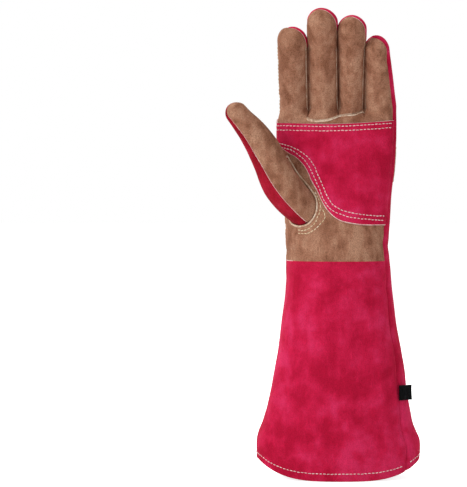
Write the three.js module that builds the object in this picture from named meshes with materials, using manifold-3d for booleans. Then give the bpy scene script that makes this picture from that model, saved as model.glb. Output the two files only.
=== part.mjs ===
import * as THREE from "three";
import Module from "manifold-3d";

// Leather welding gauntlet for the left hand, filled as when it is worn.
// The fingers point up +Z, the palm faces -Y and the thumb stands out at -X.
// The origin is the centre of the cuff mouth, at the lowest level of the hem.

// Heights of the main levels above the hem
const forkHeight = 323;
const cuffTopHeight = 189.5;
const hemBand = 7;
const hemRise = 17;
const hemRiseReach = 60;

// Widths and depths of the body, outside
const mouthWidth = 141;
const cuffDepth = 78;
const knuckleWidth = 101;
const fingerDepth = 28.6;

// Leather, seams and the pieces laid over it
const leather = 1.5;
const hemThickness = 2.6;
const seamGap = 0.4;
const overlayLift = 0.4;
const overlayLeather = 1.2;

// Fingers: lean of the slit plane, curl towards the palm, depth of the slits
const forkLean = 19;
const fingerCurl = 42;
const forkDip = 4;
const backBlendReach = 34;
const palmBlendReach = 12;
const palmSlant = 247;
const forkSquareness = 2.6;

// Strap over the back of the hand
const strapUlnarLow = 258.5;
const strapUlnarHigh = 288.5;
const strapRadialLow = 246;
const strapRadialHigh = 281;

// Patch over the palm
const patchTop = 309.5;
const patchTabLow = 287;

// Folded tag in the side seam of the cuff
const tagLow = 69;
const tagHeight = 13;
const tagLength = 14;
const tagThickness = 1.5;

// Rolled edges round the thumb opening and under the two middle fingers
const weltRadius = 0.75;

const palette = {
  red: { color: 0xc4204c, roughness: 0.92, metalness: 0 },
  darkRed: { color: 0x9c1a2e, roughness: 0.92, metalness: 0 },
  brown: { color: 0x9c6a4c, roughness: 0.94, metalness: 0 },
  cream: { color: 0xd9b79c, roughness: 0.8, metalness: 0 },
  black: { color: 0x101414, roughness: 0.7, metalness: 0 },
};

// Body sections: height as a share of forkHeight, half width as a share of mouthWidth,
// half depth as a share of cuffDepth, offsets of the centre in the same shares.
const bodySections = [
  { up: 0.000, wide: 0.5000, deep: 0.462, aside: 0.000, back: 0.000, square: 2.3 },
  { up: 0.068, wide: 0.5000, deep: 0.474, aside: 0.000, back: 0.000, square: 2.3 },
  { up: 0.102, wide: 0.4816, deep: 0.484, aside: -0.004, back: 0.000, square: 2.3 },
  { up: 0.133, wide: 0.4600, deep: 0.492, aside: -0.004, back: 0.000, square: 2.3 },
  { up: 0.183, wide: 0.4383, deep: 0.500, aside: 0.000, back: 0.000, square: 2.3 },
  { up: 0.248, wide: 0.4078, deep: 0.503, aside: 0.000, back: 0.000, square: 2.3 },
  { up: 0.310, wide: 0.3865, deep: 0.500, aside: 0.003, back: 0.000, square: 2.3 },
  { up: 0.375, wide: 0.3645, deep: 0.496, aside: 0.006, back: 0.000, square: 2.3 },
  { up: 0.440, wide: 0.3461, deep: 0.490, aside: 0.006, back: 0.000, square: 2.3 },
  { up: 0.505, wide: 0.3280, deep: 0.484, aside: 0.006, back: 0.000, square: 2.3 },
  { up: 0.570, wide: 0.3213, deep: 0.478, aside: 0.002, back: 0.000, square: 2.3 },
  { up: 0.619, wide: 0.3150, deep: 0.470, aside: -0.006, back: 0.006, square: 2.3 },
  { up: 0.669, wide: 0.3184, deep: 0.440, aside: -0.009, back: 0.013, square: 2.3 },
  { up: 0.765, wide: 0.3277, deep: 0.360, aside: -0.007, back: 0.032, square: 2.4 },
  { up: 0.830, wide: 0.3475, deep: 0.308, aside: -0.007, back: 0.045, square: 2.5 },
  { up: 0.895, wide: 0.3617, deep: 0.256, aside: -0.008, back: 0.045, square: 2.6 },
  { up: 0.960, wide: 0.3645, deep: 0.212, aside: -0.006, back: 0.042, square: 2.7 },
  { up: 1.000, wide: 0.3582, deep: 0.185, aside: 0.000, back: 0.038, square: 2.7 },
];

// Turn of the side seam on the little finger's side, in degrees, by share of forkHeight
const ulnarSeam = [
  { up: 0.00, turn: 322.7 },
  { up: 0.19, turn: 328.0 },
  { up: 0.34, turn: 330.3 },
  { up: 0.47, turn: 331.6 },
  { up: 0.66, turn: 331.1 },
  { up: 0.75, turn: 335.9 },
  { up: 0.89, turn: 338.3 },
];
const radialSeamTurn = 158;

// Fingers from the little finger to the index: centre and half width at the root and at the
// tip as shares of knuckleWidth, length in millimetres, angles of the four seams at the root.
const fingers = [
  { name: "little", root: 0.3550, rootHalf: 0.1420, tip: 0.3110, tipHalf: 0.0950, length: 62.5,
    backFrom: -34, backTo: 155, frontFrom: 205, frontTo: 326, late: ["backFrom", "frontTo"] },
  { name: "ring", root: 0.1030, rootHalf: 0.1040, tip: 0.1000, tipHalf: 0.1130, length: 82.0,
    backFrom: 25, backTo: 155, frontFrom: 205, frontTo: 335, late: [] },
  { name: "middle", root: -0.1342, rootHalf: 0.1270, tip: -0.1640, tipHalf: 0.1210, length: 89.0,
    backFrom: 25, backTo: 155, frontFrom: 205, frontTo: 335, late: [] },
  { name: "index", root: -0.3822, rootHalf: 0.1150, tip: -0.4160, tipHalf: 0.1270, length: 71.8,
    backFrom: 25, backTo: 140, frontFrom: 140, frontTo: 335, late: ["backTo", "frontFrom"] },
];
const tipSeamUlnar = -18;
const tipSeamRadial = 198;
const tipDepthShare = 0.86;

// Thumb opening in the palm: place across as a share of knuckleWidth and height as a share
// of forkHeight, in order round the opening from its lower outer corner over the palm.
const thumbOpening = [
  { across: -0.425, up: 0.7000 }, { across: -0.395, up: 0.6860 }, { across: -0.335, up: 0.6815 },
  { across: -0.270, up: 0.6890 }, { across: -0.220, up: 0.7090 }, { across: -0.203, up: 0.7340 },
  { across: -0.218, up: 0.7590 }, { across: -0.262, up: 0.7800 }, { across: -0.318, up: 0.8020 },
  { across: -0.372, up: 0.8260 }, { across: -0.412, up: 0.8480 }, { across: -0.446, up: 0.8630 },
  { across: -0.458, up: 0.8400 }, { across: -0.452, up: 0.8100 }, { across: -0.442, up: 0.7750 },
  { across: -0.436, up: 0.7350 },
];

// Thumb sections beyond its gusset: centre, half width in the plane of the palm, half depth
const thumbSections = [
  { x: -64.5, y: -31.5, z: 283.0, wide: 14.2, deep: 13.4 },
  { x: -74.8, y: -33.2, z: 299.2, wide: 11.8, deep: 12.0 },
  { x: -83.6, y: -34.4, z: 310.0, wide: 10.3, deep: 10.8 },
  { x: -89.4, y: -34.9, z: 317.0, wide: 9.7, deep: 10.0 },
];
const thumbTipLength = 9.6;
const thumbGussetBulge = 2.2;
const thumbOuterSeam = { root: 62, tip: 25 };
const thumbInnerSeam = { root: 186, tip: 176 };
const thumbBackLength = 360;

const radians = THREE.MathUtils.degToRad;
const degrees = THREE.MathUtils.radToDeg;
const mix = THREE.MathUtils.lerp;
const ease = THREE.MathUtils.smoothstep;

// Smooth value of one column of a table whose rows are ordered by "up"
function sample(table, up, column) {
  const last = table.length - 1;
  let k = 0;
  while (k < last - 1 && table[k + 1].up < up) k += 1;
  const at = (i) => table[Math.min(last, Math.max(0, i))];
  const slope = (i) => {
    const run = at(i + 1).up - at(i - 1).up;
    return run > 0 ? (at(i + 1)[column] - at(i - 1)[column]) / run : 0;
  };
  const span = at(k + 1).up - at(k).up;
  const s = THREE.MathUtils.clamp((up - at(k).up) / span, 0, 1);
  const s2 = s * s;
  const s3 = s2 * s;
  return (2 * s3 - 3 * s2 + 1) * at(k)[column] + (s3 - 2 * s2 + s) * span * slope(k)
    + (3 * s2 - 2 * s3) * at(k + 1)[column] + (s3 - s2) * span * slope(k + 1);
}

// Size and place of the body's section at a level
function bodySection(level) {
  const up = level / forkHeight;
  return {
    wide: mouthWidth * sample(bodySections, up, "wide"),
    deep: cuffDepth * sample(bodySections, up, "deep"),
    x: mouthWidth * sample(bodySections, up, "aside"),
    y: cuffDepth * sample(bodySections, up, "back"),
    square: sample(bodySections, up, "square"),
  };
}

// Point of a rounded section: the cosine and sine raised to 2 / square
function sectionPoint(section, turn, off) {
  const c = Math.cos(radians(turn));
  const s = Math.sin(radians(turn));
  const power = 2 / section.square;
  return {
    x: section.x + (section.wide + off) * Math.sign(c) * Math.abs(c) ** power,
    y: section.y + (section.deep + off) * Math.sign(s) * Math.abs(s) ** power,
  };
}

// Centre lines of the fingers: each leans at the root and curls more towards its tip
const centreSteps = 48;
fingers.forEach((finger) => {
  const rootY = cuffDepth * bodySections[bodySections.length - 1].back;
  const rootX = knuckleWidth * finger.root;
  const tipX = knuckleWidth * finger.tip;
  finger.path = [new THREE.Vector3(rootX, rootY, forkHeight + rootY * Math.tan(radians(forkLean)))];
  finger.lean = [forkLean];
  for (let k = 1; k <= centreSteps; k += 1) {
    const lean = mix(forkLean, fingerCurl, ((k - 0.5) / centreSteps) ** 2);
    const step = finger.length / centreSteps;
    const from = finger.path[k - 1];
    finger.path.push(new THREE.Vector3(
      from.x + (tipX - rootX) / centreSteps,
      from.y - step * Math.sin(radians(lean)),
      from.z + step * Math.cos(radians(lean)),
    ));
    finger.lean.push(mix(forkLean, fingerCurl, (k / centreSteps) ** 2));
  }
  finger.capFrom = 1 - (knuckleWidth * finger.tipHalf * 0.98) / finger.length;
});

// Angle of a seam along a finger: it runs straight and then closes over the tip
function seamAngle(finger, seam, along) {
  const close = finger.late.includes(seam) ? ease(along, 0.74, 0.97) : ease(along, 0.5, 0.86);
  const shift = seam === "backFrom" ? 0 : 360;
  if (seam === "backTo" || seam === "frontFrom") return mix(finger[seam], tipSeamRadial, close);
  return mix(finger[seam], tipSeamUlnar + shift, close);
}

// Point on a finger: an ellipse square to the centre line, domed at the tip
function fingerPoint(finger, along, angle, off) {
  const place = Math.min(along, 1) * centreSteps;
  const k = Math.min(centreSteps - 1, Math.floor(place));
  const centre = finger.path[k].clone().lerp(finger.path[k + 1], place - k);
  const lean = radians(mix(finger.lean[k], finger.lean[k + 1], place - k));
  const cap = THREE.MathUtils.clamp((along - finger.capFrom) / (1 - finger.capFrom), 0, 1);
  const dome = (1 - cap ** 2.3) ** (1 / 2.3);
  const half = knuckleWidth * mix(finger.rootHalf, finger.tipHalf, along);
  const depth = 0.5 * fingerDepth * mix(1, tipDepthShare, along);
  const across = (half + off) * dome * Math.cos(radians(angle));
  const back = (depth + off) * dome * Math.sin(radians(angle));
  centre.x += across;
  centre.y += back * Math.cos(lean) - off * cap * Math.sin(lean);
  centre.z += back * Math.sin(lean) + off * cap * Math.cos(lean);
  return centre;
}

// Columns run round the hand: over the back from the side seam by the little finger to the
// seam by the index, then round the index and over the palm. A bridge lies in each slit.
const columns = [];

function addFinger(index, from, to, shares) {
  const finger = fingers[index];
  shares.forEach((share) => columns.push({ finger, from, to, share, front: from === "frontFrom" }));
}

function addBridge(ulnar, radial, front) {
  columns.push({ bridge: [fingers[ulnar], fingers[radial]], front });
}

const evenShares = [0, 0.2, 0.4, 0.6, 0.8, 1];
addFinger(0, "backFrom", "backTo", [0, 0.1, 0.2, 0.31, 0.43, 0.56, 0.7, 0.85, 1]);
addBridge(0, 1, false);
addFinger(1, "backFrom", "backTo", evenShares);
addBridge(1, 2, false);
addFinger(2, "backFrom", "backTo", evenShares);
addBridge(2, 3, false);
addFinger(3, "backFrom", "backTo", evenShares);
const radialColumn = columns.length - 1;
addFinger(3, "frontFrom", "frontTo", [0.1, 0.2, 0.3, 0.4, 0.5, 0.6, 0.7, 0.8, 0.9, 1]);
addBridge(2, 3, true);
const middleFrontFrom = columns.length - 1;
addFinger(2, "frontFrom", "frontTo", evenShares);
addBridge(1, 2, true);
addFinger(1, "frontFrom", "frontTo", evenShares);
addBridge(0, 1, true);
const middleFrontTo = columns.length - 1;
addFinger(0, "frontFrom", "frontTo", evenShares);
const ulnarColumn = columns.length - 1;

function columnAngle(column, along) {
  const from = seamAngle(column.finger, column.from, along);
  return mix(from, seamAngle(column.finger, column.to, along), column.share);
}

// Point of a column in the plane of the slits, where the fingers start
function forkPoint(column, off) {
  if (column.finger) return fingerPoint(column.finger, 0, columnAngle(column, 0), off);
  const [ulnar, radial] = column.bridge;
  const one = fingerPoint(ulnar, 0, column.front ? ulnar.frontFrom : ulnar.backTo, off);
  const two = fingerPoint(radial, 0, column.front ? radial.frontTo : radial.backFrom, off);
  const point = one.lerp(two, 0.5);
  point.z -= forkDip;
  return point;
}

// Each column keeps its turn round the body, found from its share of the width at the slits
columns.forEach((column) => {
  const point = forkPoint(column, 0);
  const share = THREE.MathUtils.clamp(point.x / (mouthWidth * 0.3582), -1, 1);
  const turn = degrees(Math.acos(Math.sign(share) * Math.abs(share) ** (forkSquareness / 2)));
  const centre = cuffDepth * bodySections[bodySections.length - 1].back;
  column.turn = point.y >= centre ? turn : -turn;
  if (column.front && column.turn < 0) column.turn += 360;
});
const ulnarTurn = columns[ulnarColumn].turn;
const radialTurn = columns[radialColumn].turn;
columns[0].turn = ulnarTurn - 360;

// The turn of a column at a level, carried along by the two side seams
function turnAt(column, level) {
  const ulnar = level > 0.89 * forkHeight
    ? mix(338.3, ulnarTurn, (level / forkHeight - 0.89) / 0.11)
    : sample(ulnarSeam, level / forkHeight, "turn");
  const radial = mix(radialSeamTurn, radialTurn, ease(level, 250, forkHeight));
  const t = column.turn;
  if (!column.front) {
    if (t < 90) return 90 - (90 - t) * ((450 - ulnar) / (450 - ulnarTurn));
    return 90 + (t - 90) * ((radial - 90) / (radialTurn - 90));
  }
  if (t < 270) return 270 - (270 - t) * ((270 - radial) / (270 - radialTurn));
  return 270 + (t - 270) * ((ulnar - 270) / (ulnarTurn - 270));
}

// Point on the body at a column and a level, moved out by "off"
function bodyPoint(column, level, off) {
  const fork = forkPoint(column, off);
  const palmSide = 1 - ease(Math.abs(column.turn - 270), 92, 118);
  const reach = mix(backBlendReach, palmBlendReach, column.front ? palmSide : 0);
  const blend = ease(level, forkHeight - reach, forkHeight);
  const dip = column.bridge ? forkDip : 0;
  const top = forkPoint(column, 0).z + dip;
  const slant = Math.max(0, level - palmSlant) / (forkHeight - palmSlant);
  const height = slant > 0 ? mix(palmSlant, top, slant) : level;
  const section = bodySection(height);
  const around = sectionPoint(section, turnAt(column, height), off);
  const rise = hemRise * Math.max(0, 1 - level / hemRiseReach);
  const side = Math.min(1, Math.abs(around.x - section.x) / section.wide);
  const sink = dip * ease(level, forkHeight - palmBlendReach, forkHeight);
  const z = height + rise * side ** 3.6 - sink;
  return new THREE.Vector3(mix(around.x, fork.x, blend), mix(around.y, fork.y, blend), z);
}

// The level of a column at which the body has a given height
function levelAt(column, height) {
  if (height <= palmSlant) return height;
  const top = forkPoint(column, 0).z + (column.bridge ? forkDip : 0);
  return palmSlant + ((height - palmSlant) * (forkHeight - palmSlant)) / (top - palmSlant);
}

// Rows go up the body and on along the fingers
const gunnLevel = 316;
const bodyLevels = [0, hemBand, 24, 42, 64, 92, 122, 156, cuffTopHeight, 205, 220, 235, 250,
  264, 278, 291, 304, gunnLevel, forkHeight];
const shaftShares = [0.17, 0.34, 0.51, 0.68, 0.84, 1];
const capShares = [0.36, 0.62, 0.82, 0.94, 1];
const cuffRow = bodyLevels.indexOf(cuffTopHeight);
const gunnRow = bodyLevels.indexOf(gunnLevel);
const forkRow = bodyLevels.length - 1;
const tipRow = forkRow + shaftShares.length + capShares.length;

function alongAt(finger, row) {
  const k = row - forkRow;
  if (k <= 0) return 0;
  if (k <= shaftShares.length) return finger.capFrom * shaftShares[k - 1];
  return mix(finger.capFrom, 1, capShares[k - 1 - shaftShares.length]);
}

function skinPoint(row, col, off) {
  const column = columns[col % columns.length];
  if (row <= forkRow) {
    const hem = row <= 1 && off < 0 ? hemThickness / leather : 1;
    return bodyPoint(column, bodyLevels[row], off * hem);
  }
  if (!column.finger) return null;
  const along = alongAt(column.finger, row);
  return fingerPoint(column.finger, along, columnAngle(column, along), off);
}

// Turns a sheet of cells into a closed wall. The sheet's outer and inner points come from
// "at", cells are kept where "exists" says so, and free edges draw back by half a seam gap.
function wall(rows, cols, at, exists, inset = seamGap / 2) {
  const index = new Map();
  const outer = [];
  const inner = [];
  const id = (r, c) => {
    const point = at(r, c, true);
    const key = point.toArray().map((v) => Math.round(v * 5000)).join();
    if (!index.has(key)) {
      index.set(key, outer.length);
      outer.push(point);
      inner.push(at(r, c, false));
    }
    return index.get(key);
  };
  const faces = [];
  for (let r = 0; r < rows - 1; r += 1) {
    for (let c = 0; c < cols - 1; c += 1) {
      if (!exists(r, c)) continue;
      const quad = [id(r, c), id(r, c + 1), id(r + 1, c + 1), id(r + 1, c)];
      [[quad[0], quad[1], quad[2]], [quad[0], quad[2], quad[3]]].forEach((face) => {
        if (new Set(face).size === 3) faces.push(face);
      });
    }
  }
  const edges = new Map();
  faces.forEach((face) => face.forEach((a, k) => edges.set(`${a},${face[(k + 1) % 3]}`, face)));
  const rim = [];
  const pulls = outer.map(() => []);
  edges.forEach((face, key) => {
    const [a, b] = key.split(",").map(Number);
    if (edges.has(`${b},${a}`)) return;
    rim.push([a, b]);
    const along = outer[b].clone().sub(outer[a]).normalize();
    const [p, q, r] = face.map((k) => outer[k]);
    const normal = q.clone().sub(p).cross(r.clone().sub(p)).normalize();
    const inward = normal.cross(along).normalize();
    pulls[a].push(inward);
    pulls[b].push(inward);
  });
  pulls.forEach((list, k) => {
    if (!list.length || !inset) return;
    const sum = list.reduce((total, v) => total.add(v), new THREE.Vector3());
    const size = Math.max(sum.lengthSq() / list.length, 0.22);
    const move = sum.multiplyScalar(inset / size);
    outer[k].add(move);
    inner[k].add(move);
  });
  const count = outer.length;
  const triangles = [];
  faces.forEach(([a, b, c]) => triangles.push(a, b, c, count + a, count + c, count + b));
  rim.forEach(([a, b]) => {
    triangles.push(b, a, count + a, b, count + a, count + b);
  });
  return solid([...outer, ...inner], triangles);
}

// Geometry from points and triangles
function solid(points, triangles) {
  const geometry = new THREE.BufferGeometry();
  const values = new Float32Array(points.length * 3);
  points.forEach((point, k) => point.toArray(values, 3 * k));
  geometry.setAttribute("position", new THREE.BufferAttribute(values, 3));
  geometry.setIndex(triangles);
  geometry.computeVertexNormals();
  return geometry;
}

const glove = new THREE.Group();

function addPiece(name, geometry, material) {
  const mesh = new THREE.Mesh(geometry, new THREE.MeshStandardMaterial(palette[material]));
  mesh.name = name;
  glove.add(mesh);
}

// A wall cut from the hand's skin, between its outer face and the leather's inner face
function skinWall(exists) {
  const at = (r, c, outside) => skinPoint(r, c, outside ? 0 : -leather);
  return wall(tipRow + 1, columns.length + 1, at, exists);
}

function hasCell(row, col) {
  const next = columns[(col + 1) % columns.length];
  return row < forkRow || Boolean(columns[col].finger && next.finger && col !== ulnarColumn);
}

// Back of the glove, one piece of leather, given as the cuff with the hand and four fingers
const backPanel = skinWall((r, c) => c < radialColumn && r < forkRow);
const fingerBacks = fingers.map((finger) => skinWall((r, c) => (
  c < radialColumn && r >= forkRow && hasCell(r, c) && columns[c].finger === finger
)));

// Palm side of the cuff
const cuffFront = skinWall((r, c) => c >= radialColumn && c < ulnarColumn && r < cuffRow);

// Palm, with the fronts of the index and the little finger
const palmWhole = skinWall((r, c) => {
  if (c < radialColumn || c >= ulnarColumn || r < cuffRow) return false;
  const middle = c >= middleFrontFrom && c < middleFrontTo;
  return middle ? r < gunnRow : hasCell(r, c);
});

// Fronts of the middle and ring fingers, one piece joined under their slit
const middleFront = skinWall((r, c) => (
  c >= middleFrontFrom && c < middleFrontTo && r >= gunnRow && hasCell(r, c)
));

// Fourchette: a strip down the side of one finger, round the slit and up the next finger
function fourchette(ulnar, radial) {
  const across = 4;
  const stops = [0.999, 0.93, 0.84, 0.68, 0.51, 0.34, 0.17, 0];
  const close = 0.86;
  const rows = 2 * stops.length + 1;
  const backBridge = { bridge: [ulnar, radial], front: false };
  const palmBridge = { bridge: [ulnar, radial], front: true };
  const at = (r, c, outside) => {
    const off = outside ? 0 : -leather;
    const share = 1 - c / across;
    if (r === stops.length) {
      const back = forkPoint(backBridge, off);
      const palm = forkPoint(palmBridge, off);
      const sag = outside ? 0 : -leather;
      return back.lerp(palm, share).add(new THREE.Vector3(0, 0, sag * Math.sin(Math.PI * share)));
    }
    const down = r < stops.length;
    const along = stops[down ? r : rows - 1 - r] * close;
    const finger = down ? ulnar : radial;
    const from = down ? seamAngle(finger, "backTo", along) : seamAngle(finger, "backFrom", along);
    const to = down ? seamAngle(finger, "frontFrom", along)
      : seamAngle(finger, "frontTo", along) - 360;
    return fingerPoint(finger, along, mix(from, to, share), off);
  };
  return wall(rows, across + 1, at, () => true, 0.24);
}

// Sheet laid on the body between two heights that vary from column to column
function overlay(list, steps, low, high) {
  const at = (r, c, outside) => {
    const column = list[c];
    const off = overlayLift + (outside ? overlayLeather : 0);
    const height = mix(low(column), high(column), r / steps);
    return bodyPoint(column, levelAt(column, height), off);
  };
  return wall(steps + 1, list.length, at, () => true, 0.4);
}

// Lower edge of the palm patch: height by place across, as shares
const patchEdge = [
  { up: -0.520, low: 0.8900 }, { up: -0.485, low: 0.8900 }, { up: -0.425, low: 0.8760 },
  { up: -0.350, low: 0.8590 }, { up: -0.290, low: 0.8330 }, { up: -0.250, low: 0.8000 },
  { up: -0.214, low: 0.7740 }, { up: -0.179, low: 0.7500 }, { up: -0.140, low: 0.7290 },
  { up: -0.090, low: 0.7120 }, { up: -0.030, low: 0.7000 }, { up: 0.060, low: 0.6920 },
  { up: 0.180, low: 0.6860 }, { up: 0.300, low: 0.6830 }, { up: 0.500, low: 0.6830 },
];

function patchLow(column) {
  const across = forkPoint(column, 0).x / knuckleWidth;
  const low = forkHeight * sample(patchEdge, across, "low");
  return column.turn < 178 ? patchTabLow - 2 : low;
}

function patchHigh(column) {
  return column.turn < 178 ? patchTop + 3 : patchTop + 0.02 * forkPoint(column, 0).x;
}

const patchColumns = columns.slice(radialColumn, ulnarColumn + 1);
const palmPatch = overlay(patchColumns, 7, patchLow, patchHigh);

function strapHeight(radialValue, ulnarValue) {
  return (column) => mix(ulnarValue, radialValue, (column.turn + 4) / (radialTurn + 4));
}

const strapColumns = columns.slice(2, radialColumn + 1);
const strap = overlay(strapColumns, 3,
  strapHeight(strapRadialLow, strapUlnarLow), strapHeight(strapRadialHigh, strapUlnarHigh));

// Point on the palm side of the body at a place across and a height
function palmAt(x, height, off) {
  const section = bodySection(height);
  const share = THREE.MathUtils.clamp((x - section.x) / section.wide, -0.999, 0.999);
  const turn = -degrees(Math.acos(Math.sign(share) * Math.abs(share) ** (section.square / 2)));
  const point = sectionPoint(section, turn, off);
  return new THREE.Vector3(point.x, point.y, height);
}

// Thumb opening as points and outward directions on the palm
const opening = thumbOpening.map(({ across, up }) => {
  const x = knuckleWidth * across;
  const point = palmAt(x, forkHeight * up, 0);
  return { point, normal: palmAt(x, forkHeight * up, 5).sub(point).normalize() };
});
const openingCentre = opening.reduce((sum, { point }) => sum.add(point), new THREE.Vector3())
  .divideScalar(opening.length);

function openingAt(share, off, grow) {
  const place = ((share % 1) + 1) % 1 * opening.length;
  const k = Math.floor(place);
  const one = opening[k % opening.length];
  const two = opening[(k + 1) % opening.length];
  const normal = one.normal.clone().lerp(two.normal, place - k).normalize();
  const point = one.point.clone().lerp(two.point, place - k);
  const outward = point.clone().sub(openingCentre);
  outward.addScaledVector(normal, -outward.dot(normal)).normalize();
  return { point: point.addScaledVector(normal, off).addScaledVector(outward, grow), normal };
}

// Thumb sections: axis, width and depth directions at a place along them
const thumbEnd = thumbSections.length - 1;

function thumbSection(along) {
  const place = THREE.MathUtils.clamp(along, 0, 1) * thumbEnd;
  const k = Math.min(thumbEnd - 1, Math.floor(place));
  const f = place - k;
  const one = thumbSections[k];
  const two = thumbSections[k + 1];
  const centre = new THREE.Vector3(mix(one.x, two.x, f), mix(one.y, two.y, f), mix(one.z, two.z, f));
  const axis = new THREE.Vector3(two.x - one.x, two.y - one.y, two.z - one.z).normalize();
  const side = new THREE.Vector3(-axis.z, 0, axis.x).normalize();
  const front = axis.clone().cross(side).normalize();
  return { centre, axis, side, front, wide: mix(one.wide, two.wide, f), deep: mix(one.deep, two.deep, f) };
}

function thumbRing(along, angle, off, dome = 1, ahead = 0) {
  const s = thumbSection(along);
  const c = Math.cos(radians(angle)) * (s.wide + off) * dome;
  const d = Math.sin(radians(angle)) * (s.deep + off) * dome;
  return s.centre.addScaledVector(s.side, c).addScaledVector(s.front, d)
    .addScaledVector(s.axis, ahead);
}

// Rows of the thumb: inside the opening, the gusset, the shaft and the domed tip
const gussetSteps = 5;
const thumbShaft = [0.34, 0.67, 1];
const thumbCap = [0.4, 0.72, 0.92, 1];
const thumbRows = 2 + gussetSteps + thumbShaft.length + thumbCap.length;

function thumbPoint(row, angle, off) {
  const share = angle / 360;
  const grow = off - seamGap - 0.2;
  if (row === 0) return openingAt(share, -leather, grow).point;
  const start = openingAt(share, 0.5, grow);
  if (row === 1) return start.point;
  const k = row - 1;
  if (k <= gussetSteps) {
    const f = k / gussetSteps;
    const end = thumbRing(0, angle, off);
    const chord = end.clone().sub(start.point);
    const reach = chord.length();
    const leave = chord.clone().addScaledVector(start.normal, 0.55 * reach);
    const arrive = thumbSection(0).axis.multiplyScalar(reach);
    const f2 = f * f;
    const f3 = f2 * f;
    const point = start.point.multiplyScalar(2 * f3 - 3 * f2 + 1)
      .addScaledVector(leave, f3 - 2 * f2 + f)
      .addScaledVector(end, 3 * f2 - 2 * f3)
      .addScaledVector(arrive, f3 - f2);
    const bulge = thumbGussetBulge * 4 * f * (1 - f) * Math.max(0, Math.cos(radians(angle)));
    return point.addScaledVector(thumbSection(0).side, bulge);
  }
  const s = k - gussetSteps;
  if (s <= thumbShaft.length) return thumbRing(thumbShaft[s - 1], angle, off);
  const cap = thumbCap[s - 1 - thumbShaft.length];
  return thumbRing(1, angle, off, Math.sqrt(1 - cap * cap), (thumbTipLength + off) * cap);
}

function thumbSeam(seam, row) {
  return mix(seam.root, seam.tip, ease(row, 1, thumbRows - 1));
}

function thumbHalf(from, to, steps) {
  const at = (r, c, outside) => {
    const angle = mix(from(r), to(r), c / steps);
    return thumbPoint(r, angle, outside ? 0 : -leather);
  };
  return wall(thumbRows, steps + 1, at, () => true);
}

const thumbFront = thumbHalf(
  (row) => thumbSeam(thumbOuterSeam, row), (row) => thumbSeam(thumbInnerSeam, row), 9);
const thumbBack = thumbHalf(
  (row) => thumbSeam(thumbInnerSeam, row), (row) => thumbBackLength + thumbSeam(thumbOuterSeam, row), 14);

// Round cord on a path of points, closed or with flat ends
function cord(points, radius, closed) {
  const sides = 6;
  const count = points.length;
  const vertices = [];
  points.forEach((point, k) => {
    const before = points[closed ? (k + count - 1) % count : Math.max(0, k - 1)];
    const after = points[closed ? (k + 1) % count : Math.min(count - 1, k + 1)];
    const axis = after.clone().sub(before).normalize();
    const out = new THREE.Vector3(0, -1, 0);
    out.addScaledVector(axis, -out.dot(axis)).normalize();
    const side = out.clone().cross(axis);
    for (let s = 0; s < sides; s += 1) {
      const a = (2 * Math.PI * s) / sides;
      vertices.push(point.clone().addScaledVector(out, radius * Math.cos(a))
        .addScaledVector(side, radius * Math.sin(a)));
    }
  });
  const triangles = [];
  const rings = closed ? count : count - 1;
  for (let k = 0; k < rings; k += 1) {
    for (let s = 0; s < sides; s += 1) {
      const a = k * sides + s;
      const b = k * sides + ((s + 1) % sides);
      const c = ((k + 1) % count) * sides + ((s + 1) % sides);
      const d = ((k + 1) % count) * sides + s;
      triangles.push(a, c, b, a, d, c);
    }
  }
  if (!closed) {
    const end = (count - 1) * sides;
    for (let s = 1; s < sides - 1; s += 1) {
      triangles.push(0, s, s + 1, end, end + s + 1, end + s);
    }
  }
  return solid(vertices, triangles);
}

const weltOff = weltRadius + 0.5;
const thumbWelt = cord(
  opening.map((_, k) => openingAt(k / opening.length, weltOff, weltRadius + 1.3).point),
  weltRadius, true);
const fingerWelt = cord(
  columns.slice(middleFrontFrom, middleFrontTo + 1)
    .map((column) => bodyPoint(column, gunnLevel - 1, weltOff + 0.35)), weltRadius, false);

// Folded tape in the side seam: two layers joined by a round fold at the free end
function tagOutline() {
  const shape = new THREE.Shape();
  const half = tagThickness / 2;
  const layer = 0.55;
  shape.moveTo(0, -half);
  shape.lineTo(tagLength - half, -half);
  shape.absarc(tagLength - half, 0, half, -Math.PI / 2, Math.PI / 2, false);
  shape.lineTo(0, half);
  shape.lineTo(0, half - layer);
  shape.lineTo(tagLength - half, half - layer);
  shape.absarc(tagLength - half, 0, half - layer, Math.PI / 2, -Math.PI / 2, true);
  shape.lineTo(0, layer - half);
  shape.closePath();
  return shape;
}

const tagSection = bodySection(tagLow + tagHeight / 2);
const tagTurn = sample(ulnarSeam, (tagLow + tagHeight / 2) / forkHeight, "turn");
const tagRoot = sectionPoint(tagSection, tagTurn - 2, tagThickness / 2 + 0.9);
const tagGeometry = new THREE.ExtrudeGeometry(tagOutline(), {
  depth: tagHeight, bevelEnabled: false, curveSegments: 4,
});
tagGeometry.rotateZ(radians(38));
tagGeometry.translate(tagRoot.x, tagRoot.y, tagLow);

// The thumb opening is cut through the palm with a plug of its own outline
const wasm = await Module();
wasm.setup();

function toManifold(geometry) {
  const position = geometry.getAttribute("position");
  return new wasm.Manifold(new wasm.Mesh({
    numProp: 3,
    vertProperties: new Float32Array(position.array),
    triVerts: new Uint32Array(geometry.getIndex().array),
  }));
}

function fromManifold(manifold) {
  const mesh = manifold.getMesh();
  const geometry = new THREE.BufferGeometry();
  geometry.setAttribute("position", new THREE.BufferAttribute(mesh.vertProperties, 3));
  geometry.setIndex([...mesh.triVerts]);
  geometry.computeVertexNormals();
  return geometry;
}

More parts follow.
